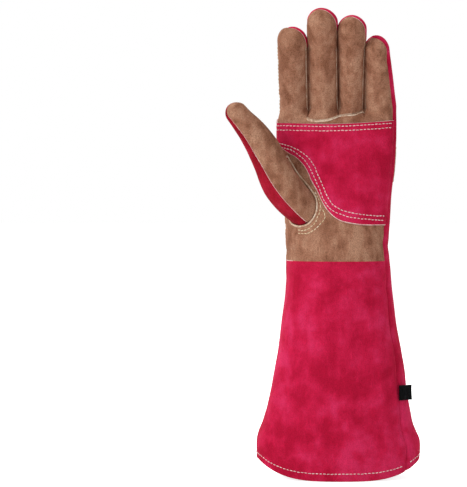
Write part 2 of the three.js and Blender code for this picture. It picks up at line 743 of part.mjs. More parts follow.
function openingPlug() {
  const count = opening.length;
  const levels = [-6, 5];
  const points = [];
  levels.forEach((off) => {
    for (let k = 0; k < count; k += 1) points.push(openingAt(k / count, off, 0).point);
  });
  levels.forEach((off) => {
    const middle = new THREE.Vector3();
    opening.forEach(({ point, normal }) => middle.add(point).addScaledVector(normal, off));
    points.push(middle.divideScalar(count));
  });
  const triangles = [];
  for (let k = 0; k < count; k += 1) {
    const next = (k + 1) % count;
    triangles.push(k, next, count + next, k, count + next, count + k);
    triangles.push(2 * count, next, k, 2 * count + 1, count + k, count + next);
  }
  return solid(points, triangles);
}

const plug = toManifold(openingPlug());
const palmPanel = fromManifold(toManifold(palmWhole).subtract(plug));

addPiece("back_panel", backPanel, "red");
fingers.forEach((finger, k) => addPiece(`${finger.name}_finger_back`, fingerBacks[k], "red"));
addPiece("cuff_front", cuffFront, "red");
addPiece("palm_panel", palmPanel, "brown");
addPiece("middle_fingers_front", middleFront, "brown");
addPiece("fourchette_little_ring", fourchette(fingers[0], fingers[1]), "brown");
addPiece("fourchette_ring_middle", fourchette(fingers[1], fingers[2]), "brown");
addPiece("fourchette_middle_index", fourchette(fingers[2], fingers[3]), "brown");
addPiece("thumb_front", thumbFront, "brown");
addPiece("thumb_back", thumbBack, "darkRed");
addPiece("palm_patch", palmPatch, "red");
addPiece("back_strap", strap, "brown");
addPiece("thumb_opening_welt", thumbWelt, "cream");
addPiece("finger_base_welt", fingerWelt, "cream");
addPiece("side_tag", tagGeometry, "black");

export default glove;
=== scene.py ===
import math

import bpy
import numpy as np
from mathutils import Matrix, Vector


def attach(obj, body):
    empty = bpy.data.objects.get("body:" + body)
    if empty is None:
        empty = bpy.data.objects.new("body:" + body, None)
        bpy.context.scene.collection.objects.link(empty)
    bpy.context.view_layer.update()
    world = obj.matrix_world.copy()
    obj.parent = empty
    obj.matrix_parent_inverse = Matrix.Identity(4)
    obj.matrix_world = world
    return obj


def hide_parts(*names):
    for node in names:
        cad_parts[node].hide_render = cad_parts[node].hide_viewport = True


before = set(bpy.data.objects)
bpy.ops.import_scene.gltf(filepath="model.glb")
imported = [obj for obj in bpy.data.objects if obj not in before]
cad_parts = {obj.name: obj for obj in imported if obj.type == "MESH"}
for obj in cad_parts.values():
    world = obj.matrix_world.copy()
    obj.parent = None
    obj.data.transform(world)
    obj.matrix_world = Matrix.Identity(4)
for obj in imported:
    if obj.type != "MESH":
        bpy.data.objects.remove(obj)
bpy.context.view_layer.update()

# Leather welding gauntlet for the left hand. Shapes are worked out in millimetres
# in the frame's axes and turned into metres where a mesh is made.
print("stage: values and helpers")

hand = {
    "forkHeight": 323.0, "cuffTop": 189.5, "mouthWidth": 141.0, "cuffDepth": 78.0,
    "hemBand": 7.0, "hemRise": 17.0, "hemRiseReach": 60.0, "hemRisePower": 3.6,
    "knuckleWidth": 101.0, "fingerDepth": 28.6, "leather": 1.5, "lap": 0.95,
    "forkLean": 19.0, "fingerCurl": 42.0, "forkDip": 2.4, "forkSquare": 2.6,
    "backReach": 34.0, "palmReach": 12.0, "palmSlant": 247.0, "palmSpan": (92, 118),
    "denseFrom": 290.0, "gunnPullFrom": 285.0, "gunnLevel": 316.0,
    "radialTurn": 158.0, "radialTurnFrom": 250.0,
}
forkHeight = hand["forkHeight"]


def mix(a, b, t):
    return a + (b - a) * t


def ease(x, low, high):  # the smooth step from 0 at low to 1 at high
    t = np.clip((np.asarray(x, float) - low) / (high - low), 0, 1)
    return t * t * (3 - 2 * t)


def smoothTable(xs, ys, x):  # cubic Hermite through the table, slopes from the neighbours
    xs, ys, x = np.asarray(xs, float), np.asarray(ys, float), np.asarray(x, float)
    last = len(xs) - 1
    after = np.minimum(np.arange(last + 1) + 1, last)
    before = np.maximum(np.arange(last + 1) - 1, 0)
    slope = (ys[after] - ys[before]) / (xs[after] - xs[before])
    k = np.clip(np.searchsorted(xs, x, side="left") - 1, 0, last - 1)
    span = xs[k + 1] - xs[k]
    s = np.clip((x - xs[k]) / span, 0, 1)
    return ((2 * s**3 - 3 * s**2 + 1) * ys[k] + (s**3 - 2 * s**2 + s) * span * slope[k]
            + (3 * s**2 - 2 * s**3) * ys[k + 1] + (s**3 - s**2) * span * slope[k + 1])


latticeSide = 32
latticeValues = np.random.default_rng(11).random((latticeSide,) * 3) * 2 - 1


def softNoise(points, size, shift=0.0):  # seeded values on a lattice, blended by the smooth step
    q = points / size + shift
    cell = np.floor(q).astype(int)
    f = q - cell
    f = f * f * (3 - 2 * f)
    total = np.zeros(points.shape[:-1])
    for corner in range(8):
        d = np.array([corner & 1, corner >> 1 & 1, corner >> 2 & 1])
        weight = np.prod(np.where(d == 1, f, 1 - f), axis=-1)
        i = (cell + d) % latticeSide
        total += weight * latticeValues[i[..., 0], i[..., 1], i[..., 2]]
    return total


def power(value, exponent):  # keeps the sign
    return np.sign(value) * np.abs(value) ** exponent


def unit(v):
    return v / np.maximum(np.linalg.norm(v, axis=-1, keepdims=True), 1e-9)


def runAlong(grid):  # distance along each row of points from its first one
    step = np.linalg.norm(np.diff(grid, axis=1), axis=-1)
    return np.concatenate([np.zeros((len(grid), 1)), np.cumsum(step, axis=1)], axis=1)


# Body sections by share of forkHeight: half width, half depth, offsets of the centre, squareness
sectionUp = [0, 0.068, 0.102, 0.133, 0.183, 0.248, 0.310, 0.375, 0.440, 0.505, 0.570, 0.619,
             0.669, 0.765, 0.830, 0.895, 0.960, 1.0]
sectionTable = {
    "wide": [0.5000, 0.5000, 0.4816, 0.4600, 0.4383, 0.4078, 0.3865, 0.3645, 0.3461, 0.3280,
             0.3213, 0.3150, 0.3184, 0.3277, 0.3475, 0.3617, 0.3645, 0.3582],
    "deep": [0.462, 0.474, 0.484, 0.492, 0.500, 0.503, 0.500, 0.496, 0.490, 0.484, 0.478, 0.470,
             0.440, 0.360, 0.308, 0.256, 0.212, 0.185],
    "aside": [0, 0, -0.004, -0.004, 0, 0, 0.003, 0.006, 0.006, 0.006, 0.002, -0.006, -0.009,
              -0.007, -0.007, -0.008, -0.006, 0],
    "back": [0, 0, 0, 0, 0, 0, 0, 0, 0, 0, 0, 0.006, 0.013, 0.032, 0.045, 0.045, 0.042, 0.038],
    "square": [2.3] * 13 + [2.4, 2.5, 2.6, 2.7, 2.7],
}
ulnarSeamUp = [0, 0.19, 0.34, 0.47, 0.66, 0.75, 0.89]
ulnarSeamTurn = [322.7, 328.0, 330.3, 331.6, 331.1, 335.9, 338.3]


def bodySection(height):  # sizes of the section at a height
    up = np.asarray(height, float) / forkHeight
    row = {name: smoothTable(sectionUp, values, up) for name, values in sectionTable.items()}
    return {
        "wide": hand["mouthWidth"] * row["wide"], "deep": hand["cuffDepth"] * row["deep"],
        "x": hand["mouthWidth"] * row["aside"], "y": hand["cuffDepth"] * row["back"],
        "square": row["square"],
    }


def sectionPoint(section, turn, off):  # cosine and sine raised to 2 / square
    c, s = np.cos(np.radians(turn)), np.sin(np.radians(turn))
    x = section["x"] + (section["wide"] + off) * power(c, 2 / section["square"])
    y = section["y"] + (section["deep"] + off) * power(s, 2 / section["square"])
    return x, y


# Fingers in the order little, ring, middle, index; seam angles at the root
fingerTable = {
    "root": [0.3550, 0.1030, -0.1342, -0.3822], "rootHalf": [0.1420, 0.1040, 0.1270, 0.1150],
    # how far the sides that face another finger stand out, at the root and per share of length
    "ulnarSide": [(0, 0), (0.75, 0.3), (0.75, 0.55), (0.5, 0.1)],
    "radialSide": [(0.6, 0.3), (0.75, 0.55), (0.5, 0.1), (0, 0)],
    "tip": [0.3110, 0.1000, -0.1640, -0.4160], "tipHalf": [0.0950, 0.1130, 0.1210, 0.1270],
    "length": [62.5, 82.0, 89.0, 71.8], "tipDepth": 0.86, "domePower": 2.3,
    "backFrom": [-34, 25, 25, 25], "backTo": [150, 147, 147, 140],
    "frontFrom": [205, 205, 205, 140], "frontTo": [326, 335, 335, 335],
    "poleShift": (-0.28, 0.5), "capShare": 0.98, "closeSpan": (0.5, 0.86), "lateSpan": (0.74, 0.97),
    "late": {"backFrom": [1, 0, 0, 0], "backTo": [0, 0, 0, 1],
             "frontFrom": [0, 0, 0, 1], "frontTo": [1, 0, 0, 0]},
    "close": {"backFrom": -22, "backTo": 180, "frontFrom": 180, "frontTo": 338},
    "closeLate": {"backFrom": -22, "backTo": 128, "frontFrom": 128, "frontTo": 338},
}
fingerOf = {k: np.array(v, float) for k, v in fingerTable.items() if isinstance(v, list)}
sideGrow = np.stack([fingerOf.pop("ulnarSide"), fingerOf.pop("radialSide")], axis=1)
centreSteps = 48
rootY = hand["cuffDepth"] * sectionTable["back"][-1]
stepShare = (np.arange(1, centreSteps + 1) - 0.5) / centreSteps
stepLean = np.radians(mix(hand["forkLean"], hand["fingerCurl"], stepShare**2))
knotLean = mix(hand["forkLean"], hand["fingerCurl"],
               (np.arange(centreSteps + 1) / centreSteps) ** 2)
centrePath = np.zeros((4, centreSteps + 1, 3))
centrePath[:, 0, 0] = hand["knuckleWidth"] * fingerOf["root"]
centrePath[:, 0, 1] = rootY
centrePath[:, 0, 2] = forkHeight + rootY * math.tan(math.radians(hand["forkLean"]))
fingerStep = fingerOf["length"][:, None] / centreSteps
centreMoves = np.stack([
    np.repeat((hand["knuckleWidth"] * (fingerOf["tip"] - fingerOf["root"]) / centreSteps)[:, None],
              centreSteps, axis=1),
    -fingerStep * np.sin(stepLean), fingerStep * np.cos(stepLean)], axis=-1)
centrePath[:, 1:] = centrePath[:, :1] + np.cumsum(centreMoves, axis=1)
capLength = hand["knuckleWidth"] * fingerOf["tipHalf"] * fingerTable["capShare"]
capFrom = 1 - capLength / fingerOf["length"]


def seamAngle(finger, seam, along):  # straight along the finger, then closing over the tip
    late = np.array(fingerTable["late"][seam])[finger] == 1
    close = np.where(late, ease(along, *fingerTable["lateSpan"]),
                     ease(along, *fingerTable["closeSpan"]))
    end = np.where(late, fingerTable["closeLate"][seam], fingerTable["close"][seam])
    return mix(fingerOf[seam][finger], end, close)


# an ellipse square to the centre line, domed at the tip
def fingerPoint(finger, along, angle, off):
    # The pole of the dome is moved towards the back and the thumb's side, which carries the
    # tip seams with it and leaves the form of the tip as it is.
    finger, along, angle, off = np.broadcast_arrays(finger, along, angle, off)
    cap = np.clip((along - capFrom[finger]) / (1 - capFrom[finger]), 0, 1)
    bend = fingerTable["domePower"]
    dome = np.maximum(0, 1 - cap**bend) ** (1 / bend)
    across = dome * np.cos(np.radians(angle)) + fingerTable["poleShift"][0] * cap**2
    behind = dome * np.sin(np.radians(angle)) + fingerTable["poleShift"][1] * cap**2
    size = (np.hypot(across, behind) ** bend + cap**bend) ** (-1 / bend)
    across, behind, cap = across * size, behind * size, cap * size
    along = np.where(cap > 0, mix(capFrom[finger], 1, cap), along)
    place = np.minimum(along, 1) * centreSteps
    k = np.minimum(centreSteps - 1, place.astype(int))
    t = place - k
    centre = mix(centrePath[finger, k], centrePath[finger, k + 1], t[..., None])
    lean = np.radians(mix(knotLean[k], knotLean[k + 1], t))
    half = hand["knuckleWidth"] * mix(fingerOf["rootHalf"][finger], fingerOf["tipHalf"][finger],
                                      along)
    depth = 0.5 * hand["fingerDepth"] * mix(1, fingerTable["tipDepth"], along)
    grow = sideGrow[finger, (across < 0).astype(int)]
    half = half + (grow[..., 0] + grow[..., 1] * along) * np.abs(across) * (1 - cap**2)
    back = (depth + off) * behind
    return centre + np.stack([
        (half + off) * across,
        back * np.cos(lean) - off * cap * np.sin(lean),
        back * np.sin(lean) + off * cap * np.cos(lean)], axis=-1)


# Columns round the hand: the back from the little finger's seam to the index seam, then the
# front. Each main column is cut in three, and a bridge lies in each slit.
mainColumns = []
evenShares = [0, 0.2, 0.4, 0.6, 0.8, 1]


def addFinger(finger, front, shares):
    mainColumns.extend({"finger": finger, "front": front, "share": s} for s in shares)


def addBridge(ulnar, front):
    mainColumns.append({"finger": -1, "front": front, "share": 0, "ulnar": ulnar})


addFinger(0, 0, [0, 0.1, 0.2, 0.31, 0.43, 0.56, 0.7, 0.85, 1])
addBridge(0, 0)
addFinger(1, 0, evenShares)
addBridge(1, 0)
addFinger(2, 0, evenShares)
addBridge(2, 0)
addFinger(3, 0, evenShares)
mainRadial = len(mainColumns) - 1
addFinger(3, 1, [0.1, 0.2, 0.3, 0.4, 0.5, 0.6, 0.7, 0.8, 0.9, 1])
addBridge(2, 1)
mainMiddleFrom = len(mainColumns) - 1
addFinger(2, 1, evenShares)
addBridge(1, 1)
addFinger(1, 1, evenShares)
addBridge(0, 1)
mainMiddleTo = len(mainColumns) - 1
addFinger(0, 1, evenShares)

cut = 3
columnList = []
for j, one in enumerate(mainColumns):
    two = mainColumns[min(j + 1, len(mainColumns) - 1)]
    for m in range(cut if j < len(mainColumns) - 1 else 1):
        t = m / cut
        if one["finger"] >= 0 and (two["finger"] >= 0 or not m):
            start = 0 if j == mainRadial and m else one["share"]
            front = two["front"] if m else one["front"]
            share = mix(start, two["share"], t)
            columnList.append((one["finger"], front, share, one["finger"], 0, 0))
        else:  # inside a slit
            bridge = one if one["finger"] < 0 else two
            across = (0.5 if one["finger"] < 0 else 0) + t / 2
            across = 1 - across if bridge["front"] else across
            columnList.append((-1, bridge["front"], 0, bridge["ulnar"], 1, across))
columnFinger, columnFront, columnShare, columnUlnar, columnBridge, columnAcross = (
    np.array(v) for v in zip(*columnList))
columnCount = len(columnList)
radialCol, middleFromCol, middleToCol = mainRadial * cut, mainMiddleFrom * cut, mainMiddleTo * cut
ulnarCol = columnCount - 1
columnDip = hand["forkDip"] * 4 * columnAcross * (1 - columnAcross) * columnBridge
realFinger = np.where(columnBridge == 1, columnUlnar, columnFinger)
columnRadial = np.minimum(columnUlnar + 1, 3)


def columnAngle(along):  # between the two seams of the finger's back or front
    low, high = (np.where(columnFront == 1, seamAngle(realFinger, "front" + end, along),
                          seamAngle(realFinger, "back" + end, along)) for end in ("From", "To"))
    return mix(low, high, columnShare)


def forkLine(off):  # where the fingers start; a slit's floor is an arch dipping between two fingers
    plain = fingerPoint(realFinger, 0.0, columnAngle(0.0), off)
    onFront = columnFront == 1
    ulnarAngle = np.where(onFront, fingerOf["frontFrom"][columnUlnar],
                          fingerOf["backTo"][columnUlnar])
    radialAngle = np.where(onFront, fingerOf["frontTo"][columnRadial],
                           fingerOf["backFrom"][columnRadial])
    arch = mix(fingerPoint(columnUlnar, 0.0, ulnarAngle, off),
               fingerPoint(columnRadial, 0.0, radialAngle, off), columnAcross[:, None])
    arch[:, 2] -= columnDip
    return np.where(columnBridge[:, None] == 1, arch, plain)


forkAt = {0: forkLine(0.0), 1: forkLine(1.0)}
mainFork = forkAt[0][::cut]
mainShare = np.clip(mainFork[:, 0] / (hand["mouthWidth"] * sectionTable["wide"][-1]), -1, 1)
mainTurn = np.degrees(np.arccos(power(mainShare, hand["forkSquare"] / 2)))
mainTurn = np.where(mainFork[:, 1] >= rootY, mainTurn, -mainTurn)
mainFront = np.array([c["front"] for c in mainColumns])
mainTurn = np.where((mainFront == 1) & (mainTurn < 0), mainTurn + 360, mainTurn)
forkUlnar, forkRadial = mainTurn[-1], mainTurn[mainRadial]
mainTurn[0] = forkUlnar - 360
columnTurn = smoothTable(np.arange(len(mainTurn)), mainTurn, np.arange(columnCount) / cut)


def turnAt(height, cols):  # carried along by the two side seams
    up, last = height / forkHeight, ulnarSeamUp[-1]
    ulnar = np.where(up > last, mix(ulnarSeamTurn[-1], forkUlnar, (up - last) / (1 - last)),
                     smoothTable(ulnarSeamUp, ulnarSeamTurn, up))
    radial = mix(hand["radialTurn"], forkRadial, ease(height, hand["radialTurnFrom"], forkHeight))
    t = columnTurn[cols]
    back = np.where(t < 90, 90 - (90 - t) * (450 - ulnar) / (450 - forkUlnar),
                    90 + (t - 90) * (radial - 90) / (forkRadial - 90))
    front = np.where(t < 270, 270 - (270 - t) * (270 - radial) / (270 - forkRadial),
                     270 + (t - 270) * (ulnar - 270) / (forkUlnar - 270))
    return np.where(columnFront[cols] == 1, front, back)


def bodyPoints(level, cols, off):  # the section at a height, drawn over to the fingers at the top
    level, cols = np.broadcast_arrays(level, cols)
    fork, flat = forkAt[off][cols], forkAt[0][cols]
    palmSide = 1 - ease(np.abs(columnTurn[cols] - 270), *hand["palmSpan"])
    reach = mix(hand["backReach"], hand["palmReach"], np.where(columnFront[cols] == 1, palmSide, 0))
    blend = ease(np.clip((level - forkHeight + reach) / reach, 0, 1), 0, 1)
    dip = columnDip[cols]
    slant = np.maximum(0, level - hand["palmSlant"]) / (forkHeight - hand["palmSlant"])
    height = np.where(slant > 0, mix(hand["palmSlant"], flat[..., 2] + dip, slant), level)
    section = bodySection(height)
    x, y = sectionPoint(section, turnAt(height, cols), off)
    side = np.minimum(1, np.abs(x - section["x"]) / section["wide"])
    fade = np.maximum(0, 1 - level / hand["hemRiseReach"])
    rise = hand["hemRise"] * fade * side**hand["hemRisePower"]
    sink = dip * ease(level, forkHeight - hand["palmReach"], forkHeight)
    return np.stack([mix(x, fork[..., 0], blend), mix(y, fork[..., 1], blend),
                     height + rise - sink], -1)


def bodyPair(level, cols):  # points of the body with their outward directions
    base = bodyPoints(level, cols, 0)
    return base, bodyPoints(level, cols, 1) - base


def levelAt(height, cols):  # the level of a column at which the body has a given height
    top = forkAt[0][cols][..., 2] + columnDip[cols]
    low = hand["palmSlant"]
    return np.where(height <= low, height, low + (height - low) * (forkHeight - low) / (top - low))


# The skin of the hand: rows up the body and on along the fingers, with its outward direction
levelKnots = [0, hand["hemBand"], hand["cuffTop"], hand["denseFrom"], hand["gunnLevel"], forkHeight]
levelSteps = [6, 87, 57, 17, 5]
bodyLevels = np.concatenate([
    np.linspace(low, high, steps, endpoint=False)
    for low, high, steps in zip(levelKnots, levelKnots[1:], levelSteps)] + [[forkHeight]])
cuffRow = int(np.argmin(abs(bodyLevels - hand["cuffTop"])))
gunnRow = int(np.argmin(abs(bodyLevels - hand["gunnLevel"])))
forkRow = len(bodyLevels) - 1
shaftShares = np.linspace(0, 1, 37)[1:]
capShares = np.sin(np.linspace(0, np.pi / 2, 17)[1:])
rowCount = forkRow + 1 + len(shaftShares) + len(capShares)
allCols = np.arange(columnCount)
skinBase = np.zeros((rowCount, columnCount, 3))
skinAway = np.zeros_like(skinBase)
# The seam under the two middle fingers sweeps: the grid is drawn to this line near it
gunnLine = {"x": [-34, -27.6, -24, -18, -10.5, -5, 0, 7, 13, 20, 26],
            "z": [314.2, 312.8, 311.2, 310.8, 311.4, 313.2, 315.1, 315.9, 316.4, 319, 319.4]}
gunnNow = bodyPoints(np.full(columnCount, hand["gunnLevel"]), allCols, 0)
gunnFade = ease(allCols, middleFromCol - 14, middleFromCol)
gunnFade = gunnFade * (1 - ease(allCols, middleToCol, middleToCol + 10))
gunnMove = (smoothTable(gunnLine["x"], gunnLine["z"], gunnNow[:, 0]) - gunnNow[:, 2]) * gunnFade
gunnPull = np.interp(bodyLevels, [hand["gunnPullFrom"], hand["gunnLevel"], forkHeight], [0, 1, 0])
levelGrid = bodyLevels[:, None] + gunnPull[:, None] * gunnMove[None]
skinBase[:forkRow + 1], skinAway[:forkRow + 1] = bodyPair(levelGrid, allCols[None])
capStart = capFrom[realFinger]
alongGrid = np.concatenate([shaftShares[:, None] * capStart, mix(capStart, 1, capShares[:, None])])
angleGrid = columnAngle(alongGrid)
skinBase[forkRow + 1:] = fingerPoint(realFinger[None], alongGrid, angleGrid, 0.0)
skinAway[forkRow + 1:] = fingerPoint(realFinger[None], alongGrid, angleGrid, 1.0)
skinAway[forkRow + 1:] -= skinBase[forkRow + 1:]
fingerCell = (columnBridge[:-1] == 0) & (columnBridge[1:] == 0)
fingerCell &= realFinger[:-1] == realFinger[1:]
cellRow = np.arange(rowCount - 1)[:, None]
cellCol = np.arange(columnCount - 1)[None]
cellExists = (cellRow < forkRow) | fingerCell[None]


def seamLine(col, height):  # a seam's place at a height on the body
    line = skinBase[:forkRow + 1, col]
    return np.stack([np.interp(height, line[:, 2], line[:, k]) for k in range(3)], -1)


# Creases seen from the front, as x, z, direction in degrees, half length, half width, depth
palmCreases = [
    (-48, 331, 10, 10, 2.8, 0.5), (-46, 339, -8, 9, 3.0, 0.35), (-24, 341, 5, 8, 2.2, 0.6),
    (6, 340, -6, 8, 2.0, 0.6), (34, 338, 12, 9, 2.4, 0.6), (-25, 372, -4, 9, 2.4, 0.6),
    (5, 372, 4, 9, 2.4, 0.5), (-46, 362, 6, 9, 2.4, 0.6), (34, 360, -5, 9, 2.2, 0.5),
    (-20, 199, 4, 34, 3.2, 0.8), (24, 206, -7, 26, 3.0, 0.6), (-36, 214, -24, 18, 2.6, 0.7),
    (-14, 258, 62, 22, 4.5, 0.8), (26, 236, 78, 24, 6.0, 0.6), (-20, 176, 6, 26, 4.0, 0.7),
    (18, 168, -5, 30, 4.5, 0.6), (-30, 120, 84, 44, 7.0, 0.8), (20, 96, 96, 52, 8.0, 0.8),
    (46, 140, 86, 38, 4.0, 0.8), (-52, 70, 80, 34, 5.0, 0.8), (50, 60, 100, 30, 5.0, 0.8),
]
backCreases = [
    (-22, 330, 70, 26, 3.6, 0.8), (4, 330, 84, 26, 3.6, 0.8), (28, 322, 98, 22, 3.4, 0.7),
    (-30, 210, 8, 26, 3.4, 0.8), (18, 204, -6, 30, 3.4, 0.8), (0, 186, 3, 34, 4.2, 0.7),
    (-26, 110, 86, 46, 7.0, 0.9), (16, 120, 94, 50, 8.0, 0.9), (44, 70, 98, 30, 6.0, 0.8),
    (-44, 60, 78, 30, 6.0, 0.8), (0, 300, 2, 30, 5.0, 0.5), (-16, 238, 6, 30, 5.0, 0.5),
]


def creaseRun(points, x, z, angle):  # distances along and across a crease
    c, s = math.cos(math.radians(angle)), math.sin(math.radians(angle))
    dx, dz = points[..., 0] - x, points[..., 2] - z
    return dx * c + dz * s, dz * c - dx * s


def bell(distance, width):
    return np.exp(-(distance / width) ** 2)


def creaseDepth(points, front):  # a valley with a low fold on either side
    total = np.zeros(points.shape[:-1])
    for side, table in ((1, palmCreases), (0, backCreases)):
        for x, z, angle, length, width, depth in table:
            run, across = creaseRun(points, x, z, angle)
            folds = 0.4 * bell(np.abs(across) - 2 * width, width) - bell(across, width)
            total += np.where(front == side, depth * folds * bell(run, length), 0)
    return total


def skinRelief(points, front, ulnarGap, radialGap, fingerGap):
    # Soft noise at three sizes, creases, a valley at each turned seam and a raised lapped edge
    cuff = 1 - ease(points[..., 2], 150, 230)
    slim = ease(points[..., 2], 318, 334)
    relief = (0.75 + 0.5 * cuff) * softNoise(points, 48) + 0.34 * softNoise(points, 19, 5.3)
    relief = relief + 0.12 * softNoise(points, 7.5, 2.7)
    relief = relief * (1 - 0.45 * slim) + creaseDepth(points, front)
    relief = relief * (0.35 + 0.65 * ease(radialGap, 0, 12))
    relief -= 1.2 * bell(ulnarGap, 1.6) - 0.3 * bell(ulnarGap - 5, 3.0)
    tipward = 1 - 0.75 * ease(points[..., 2], 335, 380)
    relief += np.where(front == 1, hand["lap"] * tipward * (1 - ease(radialGap, 9, 22)),
                       -0.35 * (1 - ease(radialGap, 3, 9)))
    return relief + slim * (0.2 * bell(fingerGap - 4, 2.5) - 0.75 * bell(fingerGap, 1.7))


def seamGap(cols, finger):  # distance from a side seam, far away on the other fingers
    gap = np.min([np.linalg.norm(skinBase - skinBase[:, col:col + 1], axis=-1) for col in cols],
                 axis=0)
    return np.where((np.arange(rowCount)[:, None] > forkRow) & (realFinger[None] != finger),
                    farAway, gap)


farAway, radialFar = 99.0, 60.0
rowRun = runAlong(skinBase)
lowEdge = np.zeros(columnCount, int)
highEdge = np.zeros(columnCount, int)
for finger in range(4):
    for front in (0, 1):
        members = np.where((columnFinger == finger) & (columnFront == front))[0]
        first = radialCol if finger == 3 and front else members[0]
        lowEdge[members], highEdge[members] = first, members[-1]
edgeGap = np.minimum(rowRun - rowRun[:, lowEdge], rowRun[:, highEdge] - rowRun)
gaps = seamGap((0, ulnarCol), 0), np.minimum(radialFar, seamGap((radialCol,), 3)), edgeGap
backRelief = skinRelief(skinBase, np.zeros(columnCount), *gaps)
frontRelief = skinRelief(skinBase, np.ones(columnCount), *gaps)


def bodyRelief(points, front):  # the same relief at any points of the body
    height = points[..., 2]
    toUlnar = np.linalg.norm(points - seamLine(ulnarCol, height), axis=-1)
    toRadial = np.minimum(radialFar, np.linalg.norm(points - seamLine(radialCol, height), axis=-1))
    return skinRelief(points, front, toUlnar, toRadial, np.full(height.shape, farAway))


def frontLift(points):
    return bodyRelief(points, np.ones(points.shape[:-1]))


def backLift(points):
    return bodyRelief(points, np.zeros(points.shape[:-1]))


print("stage: materials")


def srgb(red, green, blue):
    values = []
    for v in (red, green, blue):
        v /= 255
        values.append(v / 12.92 if v <= 0.04045 else ((v + 0.055) / 1.055) ** 2.4)
    return (*values, 1.0)


def makeSuedeGroup():  # mottled colour, brushed nap and grain from one vector
    group = bpy.data.node_groups.new("suedeNap", "ShaderNodeTree")
    face = group.interface
    face.new_socket("Vector", in_out="INPUT", socket_type="NodeSocketVector")
    for name, colour in (("Dark", (0.3, 0.1, 0.1, 1)), ("Tone", (0.5, 0.2, 0.2, 1)),
                         ("Light", (0.7, 0.4, 0.4, 1))):
        face.new_socket(name, in_out="INPUT", socket_type="NodeSocketColor").default_value = colour
    for name, value in (("Cloud Scale", 20), ("Streak Scale", 110), ("Grain Scale", 1300),
                        ("Streak", 0.5), ("Grain", 0.3)):
        face.new_socket(name, in_out="INPUT", socket_type="NodeSocketFloat").default_value = value
    face.new_socket("Color", in_out="OUTPUT", socket_type="NodeSocketColor")
    face.new_socket("Height", in_out="OUTPUT", socket_type="NodeSocketFloat")
    face.new_socket("Roughness", in_out="OUTPUT", socket_type="NodeSocketFloat")
    nodes, links = group.nodes, group.links
    given = nodes.new("NodeGroupInput")
    result = nodes.new("NodeGroupOutput")

    def feed(source, target):  # a link from a socket, or else a set value
        if isinstance(source, bpy.types.NodeSocket):
            links.new(source, target)
        else:
            target.default_value = source

    def mathNode(operation, *sources):
        node = nodes.new("ShaderNodeMath")
        node.operation = operation
        for source, target in zip(sources, node.inputs):
            feed(source, target)
        return node.outputs[0]

    def noise(vector, scale, detail, rough, factor=1.0):
        node = nodes.new("ShaderNodeTexNoise")
        for name, source in (("Vector", vector), ("Scale", mathNode("MULTIPLY", scale, factor)),
                             ("Detail", detail), ("Roughness", rough)):
            feed(source, node.inputs[name])
        return node.outputs["Fac"]

    def blend(a, b, weight):  # a + weight b
        return mathNode("MULTIPLY_ADD", b, weight, a)

    def ramp(value, low, high, toLow=0.0, toHigh=1.0):
        node = nodes.new("ShaderNodeMapRange")
        node.interpolation_type = "SMOOTHSTEP"
        links.new(value, node.inputs["Value"])
        for name, v in (("From Min", low), ("From Max", high), ("To Min", toLow),
                        ("To Max", toHigh)):
            node.inputs[name].default_value = v
        return node.outputs["Result"]

    def colours(a, b, factor, kind="MIX"):
        node = nodes.new("ShaderNodeMix")
        node.data_type = "RGBA"
        node.blend_type = kind
        for source, target in ((factor, 0), (a, 6), (b, 7)):
            feed(source, node.inputs[target])
        return node.outputs[2]

    stretch = nodes.new("ShaderNodeMapping")
    stretch.inputs["Scale"].default_value = (1, 1, 0.2)
    links.new(given.outputs["Vector"], stretch.inputs["Vector"])
    vector, long = given.outputs["Vector"], stretch.outputs["Vector"]
    cloud = noise(vector, given.outputs["Cloud Scale"], 4, 0.6)
    patch = noise(vector, given.outputs["Cloud Scale"], 3, 0.55, 4.2)
    streak = noise(long, given.outputs["Streak Scale"], 3, 0.6)
    scuff = noise(long, given.outputs["Streak Scale"], 2, 0.5, 3.3)
    grain = noise(vector, given.outputs["Grain Scale"], 3, 0.7)
    # The level is the clouds and patches plus Streak times (streak - 0.5)
    streaked = mathNode("MULTIPLY", streak, given.outputs["Streak"])
    total = blend(blend(streaked, cloud, 0.52), patch, 0.48)
    level = blend(total, given.outputs["Streak"], -0.5)
    low = colours(given.outputs["Dark"], given.outputs["Tone"], ramp(level, 0.38, 0.52))
    tone = colours(low, given.outputs["Light"], ramp(level, 0.48, 0.64))
    speck = mathNode("MULTIPLY", ramp(grain, 0.42, 0.66), given.outputs["Grain"])
    grained = colours(tone, (0.25, 0.25, 0.25, 1), speck, "MULTIPLY")
    scuffed = colours(grained, (1.3, 1.3, 1.3, 1), ramp(scuff, 0.55, 0.75, 0, 0.35), "MULTIPLY")
    height = blend(blend(ramp(patch, 0.3, 0.7), grain, 1.3), scuff, 0.9)
    links.new(scuffed, result.inputs["Color"])
    links.new(height, result.inputs["Height"])
    links.new(ramp(cloud, 0.3, 0.7, 0.86, 0.97), result.inputs["Roughness"])
    return group


suedeGroup = makeSuedeGroup()


suedeValues = {"bump": 0.5, "bumpDistance": 0.0006, "specular": 0.08, "sheenRoughness": 0.45}


